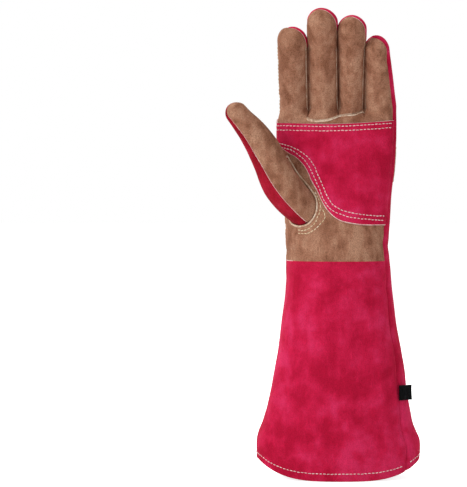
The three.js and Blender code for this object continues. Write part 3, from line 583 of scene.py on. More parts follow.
def suede(name, dark, tone, light, cloud, streak, grain, sheen=0.06, streakScale=110):
    dark, tone, light = (srgb(*colour) for colour in (dark, tone, light))
    material = bpy.data.materials.new(name)
    material.use_nodes = True
    nodes, links = material.node_tree.nodes, material.node_tree.links
    shader = nodes["Principled BSDF"]
    where = nodes.new("ShaderNodeTexCoord")
    nap = nodes.new("ShaderNodeGroup")
    nap.node_tree = suedeGroup
    links.new(where.outputs["Object"], nap.inputs["Vector"])
    for socket, value in (("Dark", dark), ("Tone", tone), ("Light", light), ("Cloud Scale", cloud),
                          ("Streak", streak), ("Grain", grain), ("Streak Scale", streakScale)):
        nap.inputs[socket].default_value = value
    bumpNode = nodes.new("ShaderNodeBump")
    bumpNode.inputs["Strength"].default_value = suedeValues["bump"]
    bumpNode.inputs["Distance"].default_value = suedeValues["bumpDistance"]
    links.new(nap.outputs["Height"], bumpNode.inputs["Height"])
    links.new(bumpNode.outputs["Normal"], shader.inputs["Normal"])
    links.new(nap.outputs["Color"], shader.inputs["Base Color"])
    links.new(nap.outputs["Roughness"], shader.inputs["Roughness"])
    tint = tuple(min(1.0, v * 1.5 + 0.03) for v in light[:3]) + (1,)
    for socket, value in (("Specular IOR Level", suedeValues["specular"]), ("Sheen Weight", sheen),
                          ("Sheen Roughness", suedeValues["sheenRoughness"]), ("Sheen Tint", tint)):
        shader.inputs[socket].default_value = value
    return material


# Each finish: material, dark, middle and light tone, cloud scale, streak, grain, and where they
# aren't the usual ones sheen and streak scale
finishTable = {
    "pink": ("crimsonSuede", (182, 17, 55), (202, 28, 70), (217, 46, 93), 15, 0.14, 0.32),
    "deepRed": ("deepRedSuede", (136, 14, 30), (160, 21, 41), (182, 33, 58), 16, 0.15, 0.3),
    "brown": ("tanSuede", (144, 96, 73), (169, 119, 94), (188, 141, 114), 24, 0.5, 0.6, 0.06, 130),
    "rawPink": ("paleCutEdge", (214, 150, 150), (236, 190, 186), (248, 220, 214), 120, 0.2, 0.3,
                0.1),
    "rawTan": ("creamCutEdge", (196, 158, 130), (224, 194, 168), (240, 220, 198), 120, 0.2, 0.3,
               0.1),
    "whiteThread": (
        "whiteThread", (224, 178, 182), (244, 212, 212), (252, 236, 234), 300, 0.2, 0.25, 0.1),
    "tanThread": (
        "creamThread", (220, 194, 148), (238, 219, 182), (248, 237, 212), 300, 0.2, 0.25, 0.1),
    "black": ("blackTape", (8, 9, 10), (16, 18, 20), (32, 34, 36), 150, 0.4, 0.5, 0.1, 700),
}
finishes = {key: suede(*row) for key, row in finishTable.items()}

print("stage: mesh tools")


def makeObject(name, node, points, faces, slots, faceSlots):
    mesh = bpy.data.meshes.new(name)
    mesh.vertices.add(len(points))
    mesh.vertices.foreach_set("co", (np.asarray(points, float) * 0.001).ravel())
    size = faces.shape[1]
    mesh.loops.add(faces.size)
    mesh.loops.foreach_set("vertex_index", faces.ravel().astype(np.int32))
    mesh.polygons.add(len(faces))
    mesh.polygons.foreach_set("loop_start", np.arange(0, faces.size, size, dtype=np.int32))
    mesh.polygons.foreach_set("material_index", np.asarray(faceSlots, np.int32))
    mesh.polygons.foreach_set("use_smooth", np.ones(len(faces), bool))
    for slot in slots:
        mesh.materials.append(finishes[slot])
    mesh.update(calc_edges=True)
    mesh.validate()
    piece = bpy.data.objects.new(name, mesh)
    bpy.context.scene.collection.objects.link(piece)
    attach(piece, "root")
    if node:
        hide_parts(*node.split())
    print(f"  {name}: {len(faces)} faces")


# Joined points lie within 1 / join of each other; the rest says how the rim is rounded
wall = {"join": 400, "topDrop": 0.16, "middleDrop": 0.5, "middleShare": 0.35, "bulge": 0.12,
        "lowRise": 0.2}


def makeWall(name, node, base, away, lift, cells, leather, slots, style):
    # A sheet made a closed wall; cells is True or says which of its cells to keep. Equal points
    # are joined, free edges are drawn back by an inset, and a strip of cut edge with a rounded
    # rim joins the outer and the inner face.
    rows, cols = base.shape[:2]
    lift = np.broadcast_to(lift, (rows, cols))
    flat = base.reshape(-1, 3)
    keys = np.round(flat * wall["join"]).astype(np.int64)
    _, first, joined = np.unique(keys, axis=0, return_index=True, return_inverse=True)
    joined = joined.ravel()
    r, c = np.nonzero(np.broadcast_to(cells, (rows - 1, cols - 1)))
    corner = lambda dr, dc: joined[(r + dr) * cols + c + dc]
    quad = np.stack([corner(0, 0), corner(0, 1), corner(1, 1), corner(1, 0)], -1)
    tris = np.concatenate([quad[:, [0, 1, 2]], quad[:, [0, 2, 3]]])
    tris = tris[(tris[:, 0] != tris[:, 1]) & (tris[:, 1] != tris[:, 2])
                & (tris[:, 0] != tris[:, 2])]
    used, tris = np.unique(tris, return_inverse=True)
    tris = tris.reshape(-1, 3)
    source = first[used]
    outer = (base + lift[..., None] * away).reshape(-1, 3)[source]
    normal = unit(away.reshape(-1, 3)[source])
    inner = outer - leather * away.reshape(-1, 3)[source]
    count = len(outer)
    edges = np.concatenate([tris[:, [0, 1]], tris[:, [1, 2]], tris[:, [2, 0]]])
    owner = np.tile(np.arange(len(tris)), 3)
    forward = edges[:, 0] * count + edges[:, 1]
    backward = edges[:, 1] * count + edges[:, 0]
    free = ~np.isin(forward, backward)
    rim, owner = edges[free], owner[free]
    inset, strip, raw = style(source[rim[:, 0]] // cols, source[rim[:, 0]] % cols,
                              source[rim[:, 1]] // cols, source[rim[:, 1]] % cols)
    face = outer[tris[owner]]
    faceNormal = unit(np.cross(face[:, 1] - face[:, 0], face[:, 2] - face[:, 0]))
    inward = unit(np.cross(faceNormal, unit(outer[rim[:, 1]] - outer[rim[:, 0]])))
    pull, pullStrip, plain = np.zeros((3, count, 3))
    size = np.zeros(count)
    for k in (0, 1):
        np.add.at(pull, rim[:, k], inward * inset[:, None])
        np.add.at(pullStrip, rim[:, k], inward * (inset + strip)[:, None])
        np.add.at(plain, rim[:, k], inward)
        np.add.at(size, rim[:, k], 1)
    scale = np.maximum(np.sum(plain**2, -1) / np.maximum(size, 1), 0.3)[:, None]
    ring = np.unique(rim)
    place = np.zeros(count, int)
    place[ring] = np.arange(len(ring))
    edgeAt = outer + pull / scale
    outer, inner = outer + pullStrip / scale, inner + pullStrip / scale
    middle = min(wall["middleDrop"], wall["middleShare"] * leather)
    rings = [edgeAt[ring] - drop * normal[ring] - out * unit(plain)[ring]
             for drop, out in ((wall["topDrop"], 0), (middle, wall["bulge"]),
                               (leather - wall["lowRise"], 0))]
    points = np.concatenate([outer, *rings, inner])
    innerFrom = count + 3 * len(ring)
    chain = [rim] + [place[rim] + count + k * len(ring) for k in range(3)] + [rim + innerFrom]
    faces = [tris, tris[:, ::-1] + innerFrom]
    for one, two in zip(chain, chain[1:]):
        faces += [np.stack([one[:, 1], one[:, 0], two[:, 0]], -1),
                  np.stack([one[:, 1], two[:, 0], two[:, 1]], -1)]
    faceSlots = np.concatenate([np.zeros(2 * len(tris))] + [raw.astype(float)] * 8)
    makeObject(name, node, points, np.concatenate(faces), slots, faceSlots)


# A style gives each edge of the rim its inset, the width of its strip and whether it is raw
def evenStyle(inset, strip, raw=True):
    def style(rowA, colA, rowB, colB):
        count = len(rowA)
        return np.full(count, inset), np.full(count, strip), np.full(count, raw)
    return style


def bothAt(a, b, place):  # an edge of the rim with both ends on this row or column
    return (a == place) & (b == place)


print("stage: camera, light and floor")

studio = {"distance": 2.2, "elevation": 1.5, "pixel": 0.000871, "across": -0.0919, "height": 0.2038,
          "long": 487, "sensor": 36.0, "clip": 40, "aim": (0, 0, 0.2), "world": 0.4,
          "floorGlow": 0.8, "floorTone": 0.93, "floorRough": 0.9, "floorSpan": 12.0,
          "floorAt": -0.0002}
cameraData = bpy.data.cameras.new("camera")
cameraData.sensor_width = studio["sensor"]
cameraData.lens = studio["sensor"] * studio["distance"] / (studio["pixel"] * studio["long"])
cameraData.clip_end = studio["clip"]
camera = bpy.data.objects.new("camera", cameraData)
bpy.context.scene.collection.objects.link(camera)
bpy.context.scene.camera = camera
tilt = math.radians(studio["elevation"])
back = Vector((0, -math.cos(tilt), math.sin(tilt)))
camera.location = Vector((studio["across"], 0, studio["height"])) + back * studio["distance"]
camera.rotation_euler = (-back).to_track_quat("-Z", "Y").to_euler()

lightTable = [
    ("keyLight", (-1.7, -1.4, 1.2), 1.1, 30.0), ("fillLight", (1.5, -1.5, 0.6), 1.6, 4.5),
    ("topLight", (-0.1, 0.2, 2.1), 1.4, 12.0), ("backLight", (-1.1, 1.6, 1.1), 1.2, 18.0),
    ("sideLight", (1.6, 1.1, 1.0), 1.4, 7.0),
]
for name, place, size, watts in lightTable:
    data = bpy.data.lights.new(name, "AREA")
    data.size, data.energy = size, watts
    light = bpy.data.objects.new(name, data)
    bpy.context.scene.collection.objects.link(light)
    light.location = place
    aim = Vector(studio["aim"]) - Vector(place)
    light.rotation_euler = aim.to_track_quat("-Z", "Y").to_euler()
bpy.context.scene.view_settings.view_transform = "Standard"
world = bpy.data.worlds.new("studio")
world.use_nodes = True
worldNodes, worldLinks = world.node_tree.nodes, world.node_tree.links
worldNodes["Background"].inputs["Color"].default_value = (1, 1, 1, 1)
worldNodes["Background"].inputs["Strength"].default_value = studio["world"]
plainBack = worldNodes.new("ShaderNodeBackground")  # what the camera sees behind the glove
plainBack.inputs["Color"].default_value = (1, 1, 1, 1)
seen = worldNodes.new("ShaderNodeLightPath")
either = worldNodes.new("ShaderNodeMixShader")
worldLinks.new(seen.outputs["Is Camera Ray"], either.inputs[0])
worldLinks.new(worldNodes["Background"].outputs[0], either.inputs[1])
worldLinks.new(plainBack.outputs[0], either.inputs[2])
worldLinks.new(either.outputs[0], worldNodes["World Output"].inputs["Surface"])
bpy.context.scene.world = world

floorMaterial = bpy.data.materials.new("paleFloor")
floorMaterial.use_nodes = True
floorShader = floorMaterial.node_tree.nodes["Principled BSDF"]
floorShader.inputs["Base Color"].default_value = (*[studio["floorTone"]] * 3, 1)
floorShader.inputs["Roughness"].default_value = studio["floorRough"]
floorShader.inputs["Emission Color"].default_value = (1, 1, 1, 1)
floorSeen = floorMaterial.node_tree.nodes.new("ShaderNodeLightPath")
# bright to the camera, dim as a light
floorGlow = floorMaterial.node_tree.nodes.new("ShaderNodeMath")
floorGlow.operation = "MULTIPLY"
floorGlow.inputs[1].default_value = studio["floorGlow"]
floorMaterial.node_tree.links.new(floorSeen.outputs["Is Camera Ray"], floorGlow.inputs[0])
floorMaterial.node_tree.links.new(floorGlow.outputs[0], floorShader.inputs["Emission Strength"])
floorMesh = bpy.data.meshes.new("floor")
floorCorners = [(x * studio["floorSpan"], y * studio["floorSpan"], studio["floorAt"])
                for x, y in ((-1, -1), (1, -1), (1, 1), (-1, 1))]
floorMesh.from_pydata(floorCorners, [], [(0, 1, 2, 3)])
floorMesh.materials.append(floorMaterial)
floor = bpy.data.objects.new("floor", floorMesh)
bpy.context.scene.collection.objects.link(floor)

print("stage: leather panels")

openingTable = {
    "across": [-0.425, -0.395, -0.335, -0.270, -0.220, -0.203, -0.218, -0.262, -0.318, -0.372,
               -0.412, -0.446, -0.458, -0.452, -0.442, -0.436],
    "up": [0.7000, 0.6860, 0.6815, 0.6890, 0.7090, 0.7340, 0.7590, 0.7800, 0.8020, 0.8260,
           0.8480, 0.8630, 0.8400, 0.8100, 0.7750, 0.7350],
    "middle": (-36.0, -26.0, 250.0),
}


def palmAt(x, height, off):  # the palm side of the body at a place across and a height
    section = bodySection(height)
    share = np.clip((x - section["x"]) / section["wide"], -0.999, 0.999)
    turn = -np.degrees(np.arccos(power(share, section["square"] / 2)))
    px, py = sectionPoint(section, turn, off)
    return np.stack([px, py, np.broadcast_to(height, px.shape)], -1)


openingKnots = len(openingTable["across"])
openingTime = np.arange(-3, openingKnots + 4)
openingX = hand["knuckleWidth"] * np.array(openingTable["across"])[openingTime % openingKnots]
openingZ = forkHeight * np.array(openingTable["up"])[openingTime % openingKnots]


# the outline of the thumb opening, moved out along the palm by grow
def openingAt(share, off, grow):
    place = (np.asarray(share, float) % 1) * openingKnots
    x, z = smoothTable(openingTime, openingX, place), smoothTable(openingTime, openingZ, place)
    point = palmAt(x, z, 0.0)
    normal = unit(palmAt(x, z, 5.0) - point)
    outward = point - np.array(openingTable["middle"])
    outward = unit(outward - np.sum(outward * normal, -1, keepdims=True) * normal)
    return point + normal * (off + frontLift(point))[..., None] + outward * grow, normal


openingRing, _ = openingAt(np.linspace(0, 1, 321)[:-1], 0.0, 0.0)
ringX, ringZ = openingRing[:, 0], openingRing[:, 2]


def insideOpening(x, z):  # even-odd count of the outline's edges to the right of each point
    nextX, nextZ = np.roll(ringX, -1), np.roll(ringZ, -1)
    above = (ringZ > z[..., None]) != (nextZ > z[..., None])
    crossing = (nextX - ringX) * (z[..., None] - ringZ) / (nextZ - ringZ + 1e-12) + ringX
    return np.sum(above & (x[..., None] < crossing), axis=-1) % 2 == 1


backCells = (cellCol < radialCol) & cellExists
cuffCells = (cellCol >= radialCol) & (cellRow < cuffRow) & cellExists
middleColumn = (cellCol >= middleFromCol) & (cellCol < middleToCol)
palmCells = (cellCol >= radialCol) & (cellRow >= cuffRow) & cellExists
palmCells &= ~(middleColumn & (cellRow >= gunnRow))
middleCells = middleColumn & (cellRow >= gunnRow) & cellExists
leather = hand["leather"]
wristRawTo = radialCol + 15  # the cuff's raw edge shows at the wrist up to this column


def backStyle(rowA, colA, rowB, colB):  # thin pale edges along the fingers, tucked under at the lap
    fingerEdge = (np.minimum(rowA, rowB) >= forkRow - 1) & (np.maximum(colA, colB) > 0)
    lapped = bothAt(colA, colB, radialCol)
    ulnar = bothAt(colA, colB, 0)
    inset = np.where(lapped, -0.6, np.where(ulnar, -0.1, 0.12))
    return inset, np.where(fingerEdge, 0.38, 0.35), fingerEdge & ~lapped & ~ulnar


def cuffStyle(rowA, colA, rowB, colB):
    lapped = bothAt(colA, colB, radialCol)
    side = bothAt(rowA, rowB, cuffRow) & (np.maximum(colA, colB) < wristRawTo)
    inset = np.where(lapped, -1.2, np.where(side, -0.4, 0.0))
    return inset, np.where(lapped | side, 0.8, 0.4), lapped | side


def palmStyle(rowA, colA, rowB, colB):
    lapped = bothAt(colA, colB, radialCol)
    wrist = bothAt(rowA, rowB, cuffRow) & (np.maximum(colA, colB) >= wristRawTo)
    ulnar = bothAt(colA, colB, ulnarCol)
    inset = np.where(lapped, -1.2, np.where(wrist, -0.5, np.where(ulnar, 0.0, 0.12)))
    return inset, np.where(lapped, 0.7, 0.4), lapped


def middleStyle(rowA, colA, rowB, colB):
    base = bothAt(rowA, rowB, gunnRow)
    return np.where(base, 0.2, 0.12), np.where(base, 0.5, 0.35), base


backNodes = "back_panel little_finger_back ring_finger_back middle_finger_back index_finger_back"
makeWall("backPanel", backNodes, skinBase, skinAway, backRelief, backCells, leather,
         ["pink", "rawPink"], backStyle)
makeWall("cuffFront", "cuff_front", skinBase, skinAway, frontRelief, cuffCells, leather,
         ["pink", "rawPink"], cuffStyle)

# The thumb opening: cells inside the outline go, and the vertices left on the hole move to it
palmBase = skinBase.copy()
onPalm = (columnFront[None] == 1) & (skinBase[..., 2] < 300) & (skinBase[..., 1] < 0)
hidden = onPalm & insideOpening(skinBase[..., 0], skinBase[..., 2])
holed = hidden[:-1, :-1].astype(int) + hidden[1:, :-1] + hidden[:-1, 1:] + hidden[1:, 1:] >= 2
touchesHole = np.zeros(hidden.shape, bool)
touchesKept = np.zeros(hidden.shape, bool)
for dr in (0, 1):
    for dc in (0, 1):
        touchesHole[dr:rowCount - 1 + dr, dc:columnCount - 1 + dc] |= holed & palmCells
        touchesKept[dr:rowCount - 1 + dr, dc:columnCount - 1 + dc] |= ~holed & palmCells
snap = np.argwhere(touchesHole & touchesKept)
ringFlat = palmAt(ringX, ringZ, 0.0)
nearest = np.argmin(np.linalg.norm(palmBase[snap[:, 0], snap[:, 1]][:, None] - ringFlat[None],
                                   axis=-1), axis=1)
palmBase[snap[:, 0], snap[:, 1]] = ringFlat[nearest] + 1e-3 * snap[:, :1]
makeWall("palmPanel", "palm_panel", palmBase, skinAway, frontRelief, palmCells & ~holed, leather,
         ["brown", "rawTan"], palmStyle)
makeWall("middleFingersFront", "middle_fingers_front", skinBase, skinAway, frontRelief + 0.15,
         middleCells,
         leather, ["brown", "rawTan"], middleStyle)


def makeFourchette(name, node, ulnar, radial):
    # Down the side of one finger, through the slit on an arch and up the side of the next
    share = np.linspace(1, 0, 15)[None]
    along = np.linspace(0.999, 0, 46)[:, None] * 0.86
    bridge = np.linspace(0, 1, 9)[1:-1, None]

    def side(finger, low, high, along, off, turn):
        angle = mix(seamAngle(finger, low, along), seamAngle(finger, high, along) - turn, share)
        return fingerPoint(finger, along, angle, off)

    def sheet(off):
        one = side(ulnar, "backTo", "frontFrom", along, off, 0)
        two = side(radial, "backFrom", "frontTo", along[::-1], off, 360)
        arch = mix(one[-1:], two[:1], bridge[..., None])
        arch[..., 2] -= hand["forkDip"] * 4 * bridge * (1 - bridge)
        if off:  # in the slit the leather faces up between the fingers
            arch[..., 2] += off * 0.6
        return np.concatenate([one, arch, two])

    base = sheet(0.0)
    away = sheet(1.0) - base
    gap = np.minimum(1 - share, share) * 26
    lift = 0.3 * softNoise(base, 14, 3.1) - 0.7 * bell(gap, 1.7)
    makeWall(name, node, base, away, lift, True, leather, ["brown", "rawTan"],
             evenStyle(0.12, 0.35))


makeFourchette("fourchetteLittleRing", "fourchette_little_ring", 0, 1)
makeFourchette("fourchetteRingMiddle", "fourchette_ring_middle", 1, 2)
makeFourchette("fourchetteMiddleIndex", "fourchette_middle_index", 2, 3)

print("stage: thumb")

thumb = {
    "x": [-64.5, -74.8, -83.6, -89.4], "y": [-31.5, -33.2, -34.4, -34.9],
    "z": [283.0, 299.2, 310.0, 317.0], "wide": [14.2, 11.8, 10.3, 9.7],
    "deep": [13.4, 12.0, 10.8, 10.0],
    "tipLength": 9.6, "bulge": 2.2, "outerSeam": (62, 25), "innerSeam": (240, 180),
}


def thumbSection(along):  # smooth sections beyond the gusset, with the axis along their centres
    place = np.clip(along, 0, 1) * 3
    knots = np.arange(4)
    centre, ahead, behind = (
        np.stack([smoothTable(knots, thumb[k], p) for k in "xyz"], -1)
        for p in (place, np.minimum(place + 0.05, 3), np.maximum(place - 0.05, 0)))
    axis = unit(ahead - behind)
    side = unit(np.stack([-axis[..., 2], np.zeros(axis.shape[:-1]), axis[..., 0]], -1))
    wide, deep = (smoothTable(knots, thumb[k], place) for k in ("wide", "deep"))
    return centre, axis, side, unit(np.cross(axis, side)), wide, deep


def thumbRing(along, angle, off, dome, ahead):
    centre, axis, side, front, wide, deep = thumbSection(along)
    c = np.cos(np.radians(angle)) * (wide + off) * dome
    d = np.sin(np.radians(angle)) * (deep + off) * dome
    return centre + side * c[..., None] + front * d[..., None] + axis * np.asarray(ahead)[..., None]


gussetShares = np.linspace(0, 1, 27)[1:]
shaftAlong = np.linspace(0, 1, 22)[1:]
thumbCap = np.sin(np.linspace(0, np.pi / 2, 13)[1:])
# The row of the coarse thumb that each fine row stands for, which places the side seams
thumbRowAt = np.concatenate([[0, 1], 1 + 5 * gussetShares, 6 + 3 * shaftAlong, 9 + 4 * thumbCap])


def thumbSheet(angle, off):  # inside the opening, the gusset, the shaft and the domed tip
    count = len(gussetShares)
    inside, _ = openingAt(angle[0] / 360, -leather, off - 0.6)
    start, normal = openingAt(angle[1:2 + count] / 360, 0.5, off - 0.6)
    f = np.concatenate([[0], gussetShares])[:, None, None]
    rows = angle[1:2 + count]
    end = thumbRing(np.zeros(rows.shape), rows, off, 1.0, np.zeros(rows.shape))
    chord = end - start
    reach = np.linalg.norm(chord, axis=-1, keepdims=True)
    leave = chord + normal * 0.55 * reach
    arrive = thumbSection(0.0)[1] * reach
    gusset = (start * (2 * f**3 - 3 * f**2 + 1) + leave * (f**3 - 2 * f**2 + f)
              + end * (3 * f**2 - 2 * f**3) + arrive * (f**3 - f**2))
    bulge = thumb["bulge"] * 4 * f * (1 - f) * np.maximum(0, np.cos(np.radians(rows)))[..., None]
    gusset = gusset + thumbSection(0.0)[2] * bulge
    rows = angle[2 + count:2 + count + len(shaftAlong)]
    along = np.broadcast_to(shaftAlong[:, None], rows.shape)
    shaft = thumbRing(along, rows, off, 1.0, np.zeros(rows.shape))
    rows = angle[2 + count + len(shaftAlong):]
    cap = np.broadcast_to(thumbCap[:, None], rows.shape)
    tip = thumbRing(np.ones(rows.shape), rows, off, np.sqrt(np.maximum(0, 1 - cap**2)),
                    (thumb["tipLength"] + off) * cap)
    return np.concatenate([inside[None], gusset, shaft, tip])


thumbCreases = [(-56, 262, -50, 12, 3.0, 0.8), (-66, 282, -40, 10, 2.6, 0.8),
                (-50, 274, 10, 10, 3.0, 0.7),
                (-76, 300, -30, 9, 2.4, 0.6), (-44, 246, -65, 12, 3.0, 0.7)]


def makeThumbHalf(name, node, columns, low, high, slots, style):
    close = ease(thumbRowAt, 1, 13)
    angle = mix(mix(*low, close)[:, None], mix(*high, close)[:, None],
                np.linspace(0, 1, columns)[None])
    base = thumbSheet(angle, 0.0)
    away = thumbSheet(angle, 1.0) - base
    run = runAlong(base)
    gap = np.minimum(run, run[:, -1:] - run)
    lift = (0.7 * softNoise(base, 26, 4.4) + 0.3 * softNoise(base, 11, 1.3)
            + 0.1 * softNoise(base, 6))
    for x, z, turn, length, width, depth in thumbCreases:
        run, across = creaseRun(base, x, z, turn)
        lift -= depth * bell(run, length) * bell(across, width)
    lift = lift * ease(thumbRowAt, 1, 3.5)[:, None] - 0.6 * bell(gap, 1.8)
    makeWall(name, node, base, away, lift, True, leather, slots, style)


def thumbFrontStyle(rowA, colA, rowB, colB):  # pale edge along the outer seam only
    outerEdge = bothAt(colA, colB, 0)
    return np.full(len(rowA), 0.1), np.where(outerEdge, 0.6, 0.3), outerEdge


makeThumbHalf("thumbFront", "thumb_front", 40, thumb["outerSeam"], thumb["innerSeam"],
              ["brown", "rawPink"], thumbFrontStyle)
makeThumbHalf("thumbBack", "thumb_back", 64, thumb["innerSeam"],
              [360 + a for a in thumb["outerSeam"]],
              ["deepRed", "rawPink"], evenStyle(0.1, 0.35, False))

print("stage: patch, strap, welts and tag")

patchEdge = {
    "across": [-0.520, -0.485, -0.425, -0.350, -0.290, -0.250, -0.214, -0.179, -0.140, -0.090,
               -0.030, 0.060, 0.180, 0.300, 0.500],
    "low": [0.8900, 0.8900, 0.8760, 0.8590, 0.8330, 0.8000, 0.7740, 0.7500, 0.7290, 0.7120,
            0.7000, 0.6920, 0.6860, 0.6830, 0.6830],
}
patch = {
    "top": 309.5, "tabLow": 287.0, "lift": 0.12, "leather": 1.15, "tabTurns": (172, 184),
    "topX": [-60, -48, -5, 25, 50, 60], "topZ": [308.8, 308.6, 307.8, 309.2, 311.2, 311.6],
    "rows": 64,
}


def patchLow(cols):
    across = forkAt[0][cols][..., 0] / hand["knuckleWidth"]
    low = forkHeight * smoothTable(patchEdge["across"], patchEdge["low"], across)
    return mix(patch["tabLow"] - 2, low, ease(columnTurn[cols], *patch["tabTurns"]))


def patchHigh(cols):
    top = smoothTable(patch["topX"], patch["topZ"], forkAt[0][cols][..., 0])
    return mix(patch["top"] + 3, top, ease(columnTurn[cols], *patch["tabTurns"]))


def overlay(cols, shares, low, high):  # a sheet on the body between two heights
    height = mix(low(cols)[None], high(cols)[None], shares[:, None])
    return bodyPair(levelAt(height, cols[None]), cols[None])


denseEnds = np.linspace(0, 1, patch["rows"])
denseEnds = denseEnds - 0.12 * np.sin(2 * np.pi * denseEnds)
patchCols = np.arange(radialCol, ulnarCol + 1)
patchBase, patchAway = overlay(patchCols, denseEnds, patchLow, patchHigh)
fromTop = patchBase[-1:, :, 2] - patchBase[..., 2]
fromLow = patchBase[..., 2] - patchBase[:1, :, 2]
patchLift = frontLift(patchBase) + patch["lift"] + patch["leather"]
for distance, at in ((fromTop, 2.6), (fromTop, 6.4), (fromLow, 3.0)):  # drawn in by the rows
    patchLift = patchLift - 0.22 * bell(distance - at, 1.1)


def patchStyle(rowA, colA, rowB, colB):
    seam = bothAt(colA, colB, 0)
    ulnar = bothAt(colA, colB, len(patchCols) - 1)
    return np.where(seam, -1.0, np.where(ulnar, -0.5, 0.1)), np.full(len(rowA), 0.25), ~ulnar


makeWall("palmPatch", "palm_patch", patchBase, patchAway, patchLift, True, patch["leather"],
         ["pink", "rawPink"], patchStyle)

strap = {"radial": (246.0, 281.0), "ulnar": (258.5, 288.5), "lift": 0.15, "leather": 1.25,
         "firstCol": 6, "rows": 26}
strapCols = np.arange(strap["firstCol"], radialCol + 1)


def strapEdge(k):  # the lower edge for 0, the upper edge for 1
    return lambda cols: mix(strap["ulnar"][k], strap["radial"][k],
                            (columnTurn[cols] + 4) / (forkRadial + 4))


strapShares = np.linspace(0, 1, strap["rows"])
strapBase, strapAway = overlay(strapCols, strapShares, strapEdge(0), strapEdge(1))
strapLift = backLift(strapBase) + strap["lift"] + strap["leather"]
fromSide = np.minimum(strapBase[-1:, :, 2] - strapBase[..., 2],
                      strapBase[..., 2] - strapBase[:1, :, 2])
strapLift = strapLift - 0.25 * bell(fromSide - 2.8, 1.1)
makeWall("backStrap", "back_strap", strapBase, strapAway, strapLift, True, strap["leather"],
         ["brown", "rawTan"], evenStyle(0.1, 0.6))


def roundCord(name, node, path, out, wide, high, closed, finish, sides=10):
    # An oval profile carried along a path; its flat side lies on the leather
    ahead = np.roll(path, -1, axis=0) - np.roll(path, 1, axis=0)
    if not closed:
        ahead[0], ahead[-1] = path[1] - path[0], path[-1] - path[-2]
    axis = unit(ahead)
    out = unit(out - np.sum(out * axis, -1, keepdims=True) * axis)
    side = np.cross(out, axis)
    a = np.linspace(0, 2 * np.pi, sides, endpoint=False)
    ring = (path[:, None] + out[:, None] * (high * np.cos(a))[None, :, None]
            + side[:, None] * (wide[:, None] * np.sin(a))[..., None])
    count = len(path)
    k = np.arange(count if closed else count - 1)[:, None]
    s = np.arange(sides)[None]
    p0, p1 = k * sides + s, k * sides + (s + 1) % sides
    q0, q1 = (k + 1) % count * sides + s, (k + 1) % count * sides + (s + 1) % sides
    faces = np.concatenate([np.stack([p0, q1, p1], -1).reshape(-1, 3),
                            np.stack([p0, q0, q1], -1).reshape(-1, 3)])
    points = ring.reshape(-1, 3)
    if not closed:
        points = np.concatenate([points, path[:1], path[-1:]])
        s = np.arange(sides)
        last = (count - 1) * sides
        faces = np.concatenate([
            faces, np.stack([np.full(sides, len(points) - 2), s, (s + 1) % sides], -1),
            np.stack([np.full(sides, len(points) - 1), last + (s + 1) % sides, last + s], -1)])
    makeObject(name, node, points, faces, [finish], np.zeros(len(faces)))


weltShare = np.linspace(0, 1, 181)[:-1]
weltPath, weltNormal = openingAt(weltShare, 0.45, 1.0)
weltPath = weltPath + 0.18 * softNoise(weltPath, 3.5, 1.1)[:, None] * weltNormal
weltWide = 0.85 + 0.2 * softNoise(weltPath, 6, 4.0)
roundCord("thumbOpeningWelt", "thumb_opening_welt", weltPath, weltNormal, weltWide, 0.6, True,
          "rawTan")
baseCols = np.arange(middleFromCol, middleToCol + 1)
baseLevel = levelGrid[gunnRow, baseCols] - 0.9
basePath, baseOut = bodyPair(baseLevel, baseCols)
baseOut = unit(baseOut)
baseShare = np.linspace(0, 1, len(baseCols))
basePath = basePath + baseOut * (frontLift(basePath) + 0.35)[:, None]
baseWide = 0.55 + 0.55 * bell(baseShare - 0.12, 0.3) + 0.1 * softNoise(basePath, 5)
roundCord("fingerBaseWelt", "finger_base_welt", basePath, baseOut, baseWide, 0.55, False, "rawTan")

# The raw edge of the patch, seen as a pale line round the thumb and along the bottom
edgeCols = np.arange(8, len(patchCols) - 1)
edgeShare = np.linspace(0, len(edgeCols) - 1, 260)
edgeOut = unit(patchAway[0, edgeCols])
edgeLift = (patchLift[0, edgeCols] - 0.32)[:, None]
edgePath = patchBase[0, edgeCols] + patchAway[0, edgeCols] * edgeLift
edgePath, edgeOut = (np.stack([np.interp(edgeShare, np.arange(len(edgeCols)), v[:, k])
                               for k in range(3)], -1)
                     for v in (edgePath, edgeOut))
edgeWide = 0.42 + 0.12 * softNoise(edgePath, 4, 2.2)
roundCord("patchRawEdge", None, edgePath, edgeOut, edgeWide, 0.36, False, "rawPink", 8)

tag = {"low": 69.0, "height": 13.0, "length": 14.0, "thickness": 1.5, "layer": 0.55, "turn": 38.0}
tagHalf = tag["thickness"] / 2
foldAngle = np.linspace(-np.pi / 2, np.pi / 2, 9)[1:-1]
straight = np.linspace(0, tag["length"] - tagHalf, 8)
tagRise = np.linspace(0, 1, 12)
tagTwist = np.radians(tag["turn"]) + 0.02 * np.sin(tagRise * 3)[:, None]


tagMiddle = tag["low"] + tag["height"] / 2
tagSeamTurn = smoothTable(ulnarSeamUp, ulnarSeamTurn, tagMiddle / forkHeight)
tagX, tagY = sectionPoint(bodySection(tagMiddle), tagSeamTurn - 2, tagHalf + 0.9)


def tagSheet(half):  # the folded outline raised along z, with a slight wave
    x = np.concatenate([straight, tag["length"] - tagHalf + half * np.cos(foldAngle),
                        straight[::-1]])
    y = np.concatenate([np.full(len(straight), -half), half * np.sin(foldAngle),
                        np.full(len(straight), half)])
    y = y[None] + 0.25 * np.sin(x / 3 + tagRise[:, None] * 4) * x / tag["length"]
    z = np.broadcast_to(tag["low"] + tag["height"] * tagRise[:, None], y.shape)
    c, s = np.cos(tagTwist), np.sin(tagTwist)
    return np.stack([x * c - y * s + tagX, x * s + y * c + tagY, z], -1)


